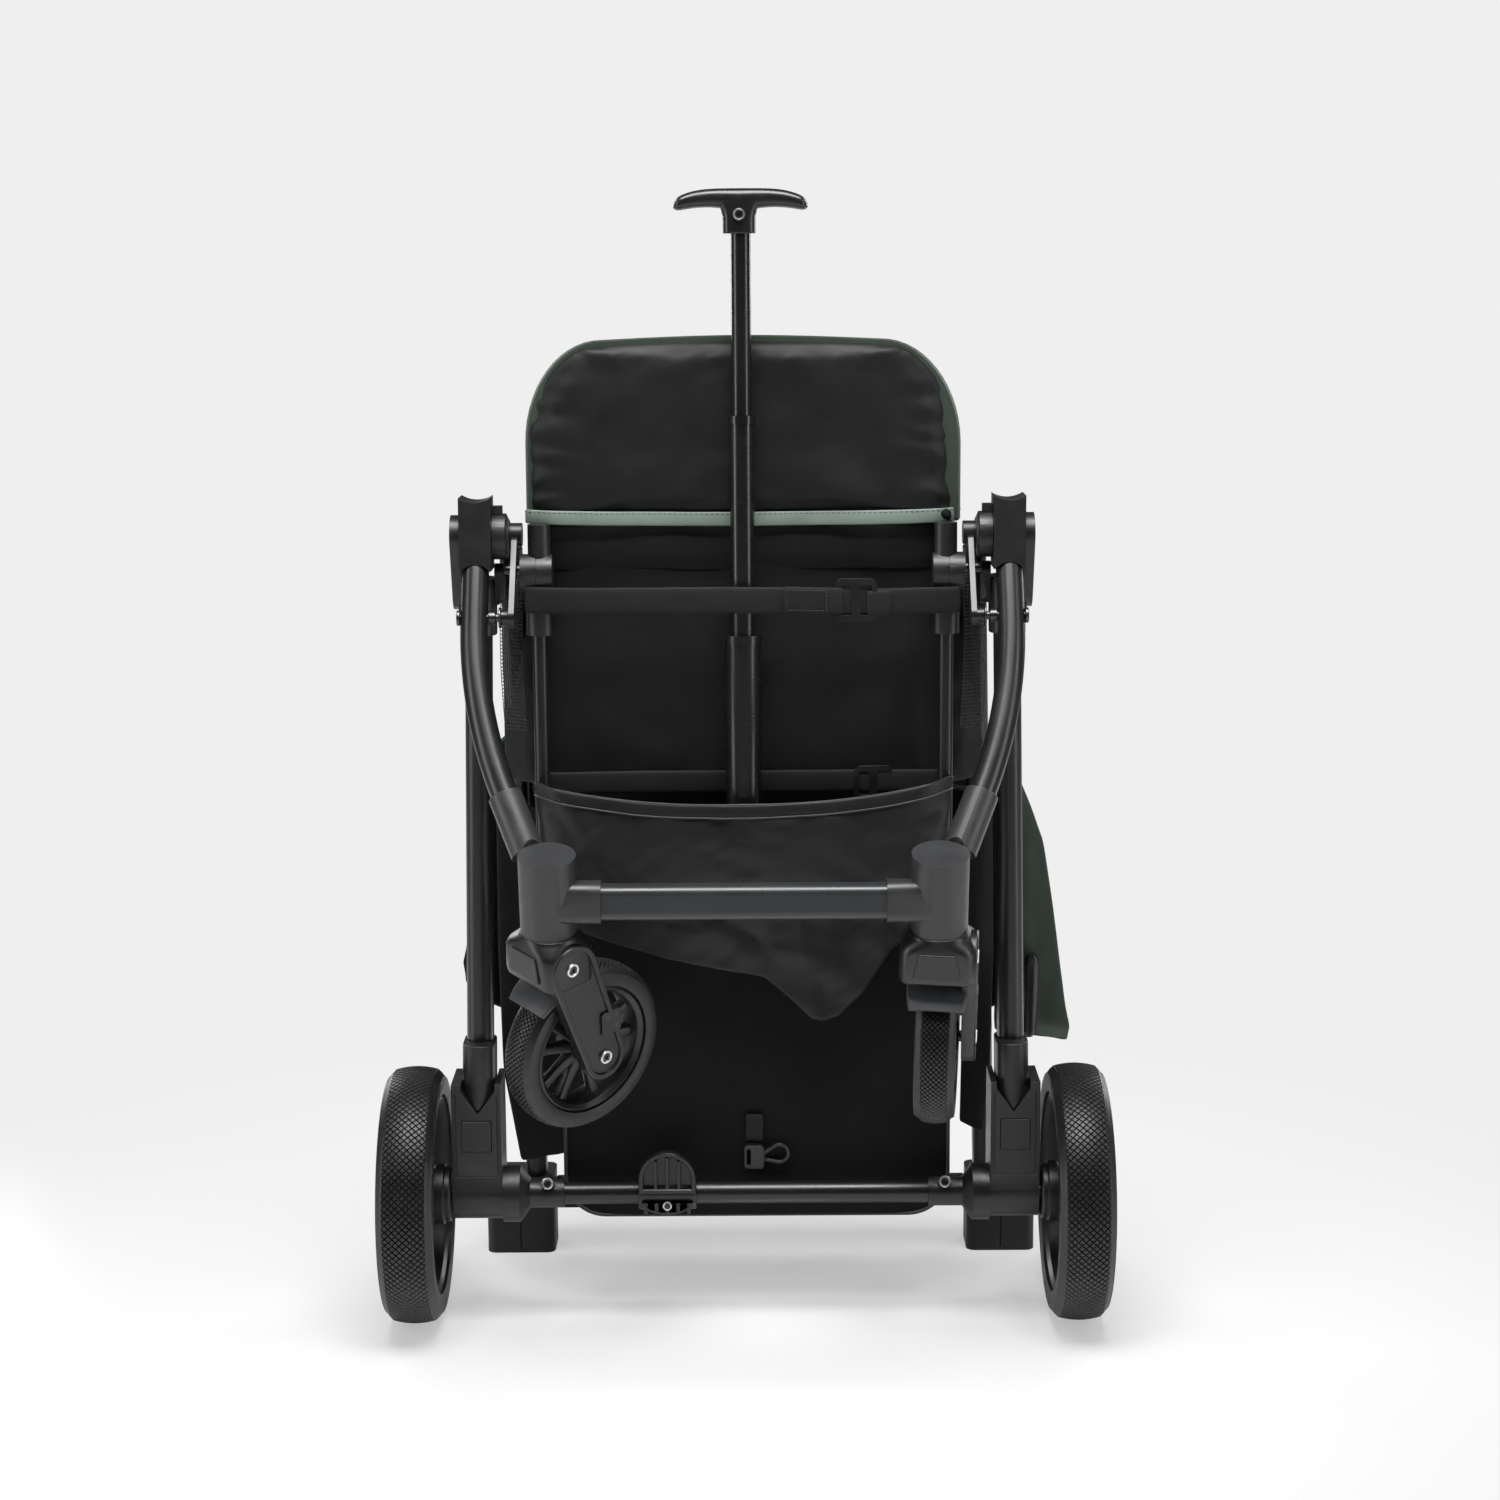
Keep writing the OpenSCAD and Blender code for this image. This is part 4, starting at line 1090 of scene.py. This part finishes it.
for side, sign in SIDES.items():
    base = caster_frame(side)
    body = "caster_" + side
    turned = base @ Matrix(((0, 0, 1, 0), (1, 0, 0, 0), (0, 1, 0, 0), (0, 0, 0, 1)))  # local (y, z, outward)
    border = Shape(turned)
    levels = ((19.4, 17.2, 17.4), (19.6, 17.4, 26.4), (18.8, 16.6, 27.6), (15.4, 13.6, 27.6),
              (14.4, 12.6, 25.4),
              (14.4, 12.6, 17.4))
    border.loft([[(y, z, x) for y, z in bar_outline((0, -52), ra, (TRAIL, -DROP), rb)] for ra, rb,
                 x in levels],
                loop=True)
    border.loft([[(y, z, x) for y, z in bar_outline((0, -52), 15, (TRAIL, -DROP), 13.2)]
                 for x in (17.6, 25.8)])
    # Square tab with three small holes beside the axle; the holes are not cut but painted as dark discs of painted
    # shade
    tab = [(TRAIL + 5.5 + y, -DROP + 26.7 + z) for y, z in rounded_outline(17, 18, 2, 4)]
    border.loft([[(y, z, x) for y, z in tab] for x in (19, 27.8)])
    border.done(f"fork_rim_{side}_out", FORK_PLASTIC, body, "caster_plastic",
                bevel=0.35, angle=40)
    # Painted shade: dark steel discs on the tab's face stand in for the shade inside its three holes
    holes = Shape(turned)
    for y, z in ((TRAIL + 2, -DROP + 31.5), (TRAIL + 10, -DROP + 31.5), (TRAIL + 10, -DROP + 22.5)):
        holes.loft([[(y + 1.5 * math.cos(k), z + 1.5 * math.sin(k), x)
                     for k in [math.pi * i / 8 for i in range(16)]]
                    for x in (27.0, 28.0)])
    holes.done(f"fork_tab_painted_hole_shade_{side}_out", DARK_STEEL, body, "steel", angle=30)
    for k, (y, z) in enumerate(((-2, -50), (TRAIL, -DROP))):
        ringed_screw(f"fork_bolt_{side}_out{k}", turned @ Matrix.Translation((y, z, 27.2)),
                     5.0, body)
    yoke = Shape(base)
    yoke.loft([[(x, y + shift, z) for x, y in rounded_outline(wide, deep, corner, 6)]
               for z, wide, deep, corner, shift in (
                   (-29.6, 41, 41, 20.4, 0), (-32.5, 44, 42.5, 19.5, 0), (-36.5, 49.5, 43.5, 12, -0.8),
                   (-41, 52.4, 43.5, 9, -1), (-58, 53.4, 43, 8.5, -1), (-63.5, 53, 41, 8, -0.6),
                   (-65.5, 50, 38, 7, 0))])
    yoke.lathe([(6, -27), (20, -27), (20, -46), (6, -46)], 56, loop=True)
    yoke.done("yoke_cover_" + side, FORK_PLASTIC, body, "caster_plastic", ("caster_fork_" + side,), bevel=0.8,
              angle=40)
    axle = Shape(base @ Matrix.Translation((0, TRAIL, -DROP)) @ Matrix.Rotation(math.pi / 2, 4, "Y"))
    axle.lathe([(1.5, -16.4), (5.4, -16.4), (6.2, -15.8), (6.2, -14.9), (4, -14.6), (4, 17.8), (1.5, 17.8)],
               40, loop=True)
    axle.done("caster_axle_" + side, DARK_STEEL, body, "steel", ("caster_bolts_" + side,), angle=40)
    plate = Shape(base @ Matrix(((1, 0, 0, 0), (0, 0, -1, 0), (0, 1, 0, 0),
                                 (0, 0, 0, 1))))  # local (x, z, forward)
    plate.prism([(-13, -39), (13, -39), (16.5, -58), (-16.5, -58)], 21.4, 24.2)
    plate.done("lock_plate_" + side, FORK_PLASTIC, body, "caster_plastic", bevel=0.9, segments=3)

for side in SIDES:
    guard = Shape(caster_frame(side))
    rings = []
    for k in range(19):
        turn = math.radians(184 + 42 * k / 18)
        half = 21.4 * (1 - 0.1 * (max(0, k - 12) / 6) ** 2)
        out = Vector((0, math.sin(turn), -math.cos(turn)))
        hub = Vector((0, TRAIL, -DROP))
        section = [(-half, 66), (-half + 1.2, 68.4), (-half * 0.6, 69.6), (0, 70), (half * 0.6, 69.6),
                   (half - 1.2, 68.4),
                   (half, 66), (half - 1, 65.4), (half * 0.6, 66.8), (0, 67.2), (-half * 0.6, 66.8),
                   (-half + 1, 65.4)]
        rings.append([hub + out * r + Vector((x, 0, 0)) for x, r in section])
    guard.loft(rings)
    guard.done("fender_arched_" + side, FENDER, "caster_" + side, "fender_plastic",
               ("caster_fender_" + side,), bevel=0.5)

# ---- Pull rod grip ----

shape = Shape()
rings = []
for k in range(41):
    x = -47.6 * math.cos(math.pi * k / 40)
    end = math.sqrt(max(0.0, 1 - max(0, (abs(x) - 42.5) / 5.2) ** 2)) * 0.97 + 0.03
    top = 831.6 - 7.5 * (abs(x) / 47) ** 4
    bottom = 816 + 3.0 * math.sin(math.pi * min(1, abs(x) / 48)) - 0.6
    mid, half = (top + bottom) / 2, (top - bottom) / 2 * end
    ring = []
    for i in range(24):
        turn = 2 * math.pi * i / 24
        c, s = math.cos(turn), math.sin(turn)
        ring.append((x, 1.5 + 8.8 * end * math.copysign(abs(c) ** 0.7, c),
                     mid + half * math.copysign(abs(s) ** 0.75, s)))
    rings.append(ring)
shape.loft(rings)
shape.loft([[(x - 1, y + 1.5, z) for x, y in rounded_outline(w, d, 6.5, 5)]
            for z, w, d in ((800.2, 22.4, 17), (801, 23.4, 18), (812, 23.4, 18), (817, 25.5, 18),
                            (822, 33, 17.2))])
shape.done("rod_grip_arched", SMOOTH, "rod_inner", "smooth_plastic", ("rod_grip",), bevel=0.3, angle=50)

# ---- Brake pedal ----

PEDAL_X = (low("brake_pedal").x + high("brake_pedal").x) / 2


def pedal_outline(radius, foot, steps=24):
    """A half circle above straight sides, in (x, z)."""
    return arc((PEDAL_X, 109.5), radius, 0, 180, steps) + [(PEDAL_X - radius, foot), (PEDAL_X + radius, foot)]


pedal = Shape(UPRIGHT)
rings = ((21.5, 99, -9.6), (21.5, 99, -15.4), (20.9, 99.6, -16.4), (18.6, 102, -16.4), (17.8, 102.6, -15.6),
         (17.8, 102.6, -9.6))
pedal.loft([[(x, z, y) for x, z in pedal_outline(r, foot)] for r, foot, y in rings], loop=True)
pedal.prism(pedal_outline(19, 100), -10.4, -8.4)
for k in (-1, 0, 1):
    x = PEDAL_X + 8.6 * k
    pedal.prism([(x - 1.1, 100), (x + 1.1, 100), (x + 1.1, 127 - 3 * abs(k)), (x - 1.1, 127 - 3 * abs(k))],
                -15.8, -9)
sleeve = Shape(PLACE @ Matrix.Translation((PEDAL_X, 0, 95.6)) @ Matrix.Rotation(math.pi / 2, 4, "Y"))
sleeve.lathe([(8.7, -21.5), (12.2, -21.5), (12.9, -20.6), (12.9, 20.6), (12.2, 21.5), (8.7, 21.5)], 56,
             loop=True)
sleeve.done("brake_pedal_sleeve", SMOOTH, "brake", "smooth_plastic", angle=40)
for k in range(5):
    x = PEDAL_X - 16 + 8 * k
    pedal.prism([(x - 1.4, 83.6), (x + 1.4, 83.6), (x + 1.4, 92), (x - 1.4, 92)], -15.6, -6)
lip = arc((PEDAL_X, 92), 19.5, 180, 360, 20)
pedal.loft([[(PEDAL_X + (x - PEDAL_X) * k, 92 + (z - 92) * 0.46 * k, y) for x, z in lip]
            for k, y in ((1, -7), (1, -15.4), (0.96, -16.2), (0.86, -16.2), (0.82, -7))], loop=True)
pedal.done("brake_pedal_ribbed", SMOOTH, "brake", "smooth_plastic", ("brake_pedal",), bevel=0.25, angle=40)
ringed_screw("pedal_screw", PLACE @ Matrix.Translation((PEDAL_X, -14.8, 89.5)) @ FACING, 3.4, "brake")


# ---- Stage, light and camera ----


def studio():
    """A pale floor, soft light and a white surround that only the camera sees at full strength."""
    floor_material = bpy.data.materials.new("floor_pale")
    floor_material.use_nodes = True
    tree = floor_material.node_tree
    bsdf = tree.nodes["Principled BSDF"]
    bsdf.inputs["Base Color"].default_value = (0.8, 0.8, 0.795, 1)
    bsdf.inputs["Roughness"].default_value = 0.2
    glow = tree.nodes.new("ShaderNodeEmission")
    glow.inputs["Color"].default_value = (0.863, 0.863, 0.863, 1)
    place = tree.nodes.new("ShaderNodeTexCoord")
    far = tree.nodes.new("ShaderNodeVectorMath")
    far.operation = "LENGTH"
    fade = tree.nodes.new("ShaderNodeMapRange")
    fade.interpolation_type = "SMOOTHSTEP"
    fade.inputs["From Min"].default_value = 0.28
    fade.inputs["From Max"].default_value = 0.85
    fade.inputs["To Min"].default_value = 0.5
    mix = tree.nodes.new("ShaderNodeMixShader")
    tree.links.new(place.outputs["Object"], far.inputs[0])
    tree.links.new(far.outputs["Value"], fade.inputs["Value"])
    ray = tree.nodes.new("ShaderNodeLightPath")
    seen = tree.nodes.new("ShaderNodeMath")
    seen.operation = "MULTIPLY"
    tree.links.new(fade.outputs["Result"], seen.inputs[0])
    tree.links.new(ray.outputs["Is Camera Ray"], seen.inputs[1])
    tree.links.new(seen.outputs["Value"], mix.inputs["Fac"])
    tree.links.new(bsdf.outputs["BSDF"], mix.inputs[1])
    tree.links.new(glow.outputs["Emission"], mix.inputs[2])
    tree.links.new(mix.outputs["Shader"], tree.nodes["Material Output"].inputs["Surface"])
    mesh = bpy.data.meshes.new("floor")
    reach = 40
    mesh.from_pydata([(-reach, -reach, 0), (reach, -reach, 0), (reach, reach, 0), (-reach, reach, 0)], [],
                     [(0, 1, 2, 3)])
    mesh.materials.append(floor_material)
    floor = bpy.data.objects.new("floor", mesh)
    floor.location = (0, 0, cad_box[0].z - 0.0003)
    bpy.context.scene.collection.objects.link(floor)

    world = bpy.data.worlds.new("studio")
    bpy.context.scene.world = world
    world.use_nodes = True
    tree = world.node_tree
    seen = tree.nodes["Background"]
    seen.inputs["Color"].default_value = (0.863, 0.863, 0.863, 1)
    light = tree.nodes.new("ShaderNodeBackground")
    light.inputs["Color"].default_value = (0.55, 0.56, 0.58, 1)
    light.inputs["Strength"].default_value = 0.05
    path = tree.nodes.new("ShaderNodeLightPath")
    mix = tree.nodes.new("ShaderNodeMixShader")
    tree.links.new(path.outputs["Is Camera Ray"], mix.inputs["Fac"])
    tree.links.new(light.outputs["Background"], mix.inputs[1])
    tree.links.new(seen.outputs["Background"], mix.inputs[2])
    tree.links.new(mix.outputs["Shader"], tree.nodes["World Output"].inputs["Surface"])
    bpy.context.scene.view_settings.view_transform = "Standard"


def softbox(name, place, target, width, height, power):
    lamp = bpy.data.lights.new(name, "AREA")
    lamp.shape = "RECTANGLE"
    lamp.size, lamp.size_y = width, height
    lamp.energy = power
    obj = bpy.data.objects.new(name, lamp)
    obj.location = place
    obj.rotation_euler = (Vector(target) - Vector(place)).to_track_quat("-Z", "Y").to_euler()
    bpy.context.scene.collection.objects.link(obj)


studio()
middle = (0, 0, 0.4)
softbox("top", (0, -0.5, 2.0), (0, 0, 0.3), 1.3, 0.8, 62)
softbox("front_left", (-2.1, -0.7, 1.0), middle, 0.5, 2.0, 20)
softbox("front_right", (2.0, -0.9, 1.0), middle, 0.35, 2.0, 17)
softbox("back_left", (-1.5, 2.2, 1.3), middle, 0.9, 1.6, 30)
softbox("back_right", (1.7, 2.0, 1.3), middle, 0.9, 1.6, 30)

camera = bpy.data.objects.new("camera", bpy.data.cameras.new("camera"))
camera.data.lens = 70
camera.data.sensor_width = 36
camera.location = at(6.7, -2088.7, 798.6)
camera.rotation_euler = (math.radians(80), math.radians(0.32), 0)
bpy.context.scene.collection.objects.link(camera)
bpy.context.scene.camera = camera
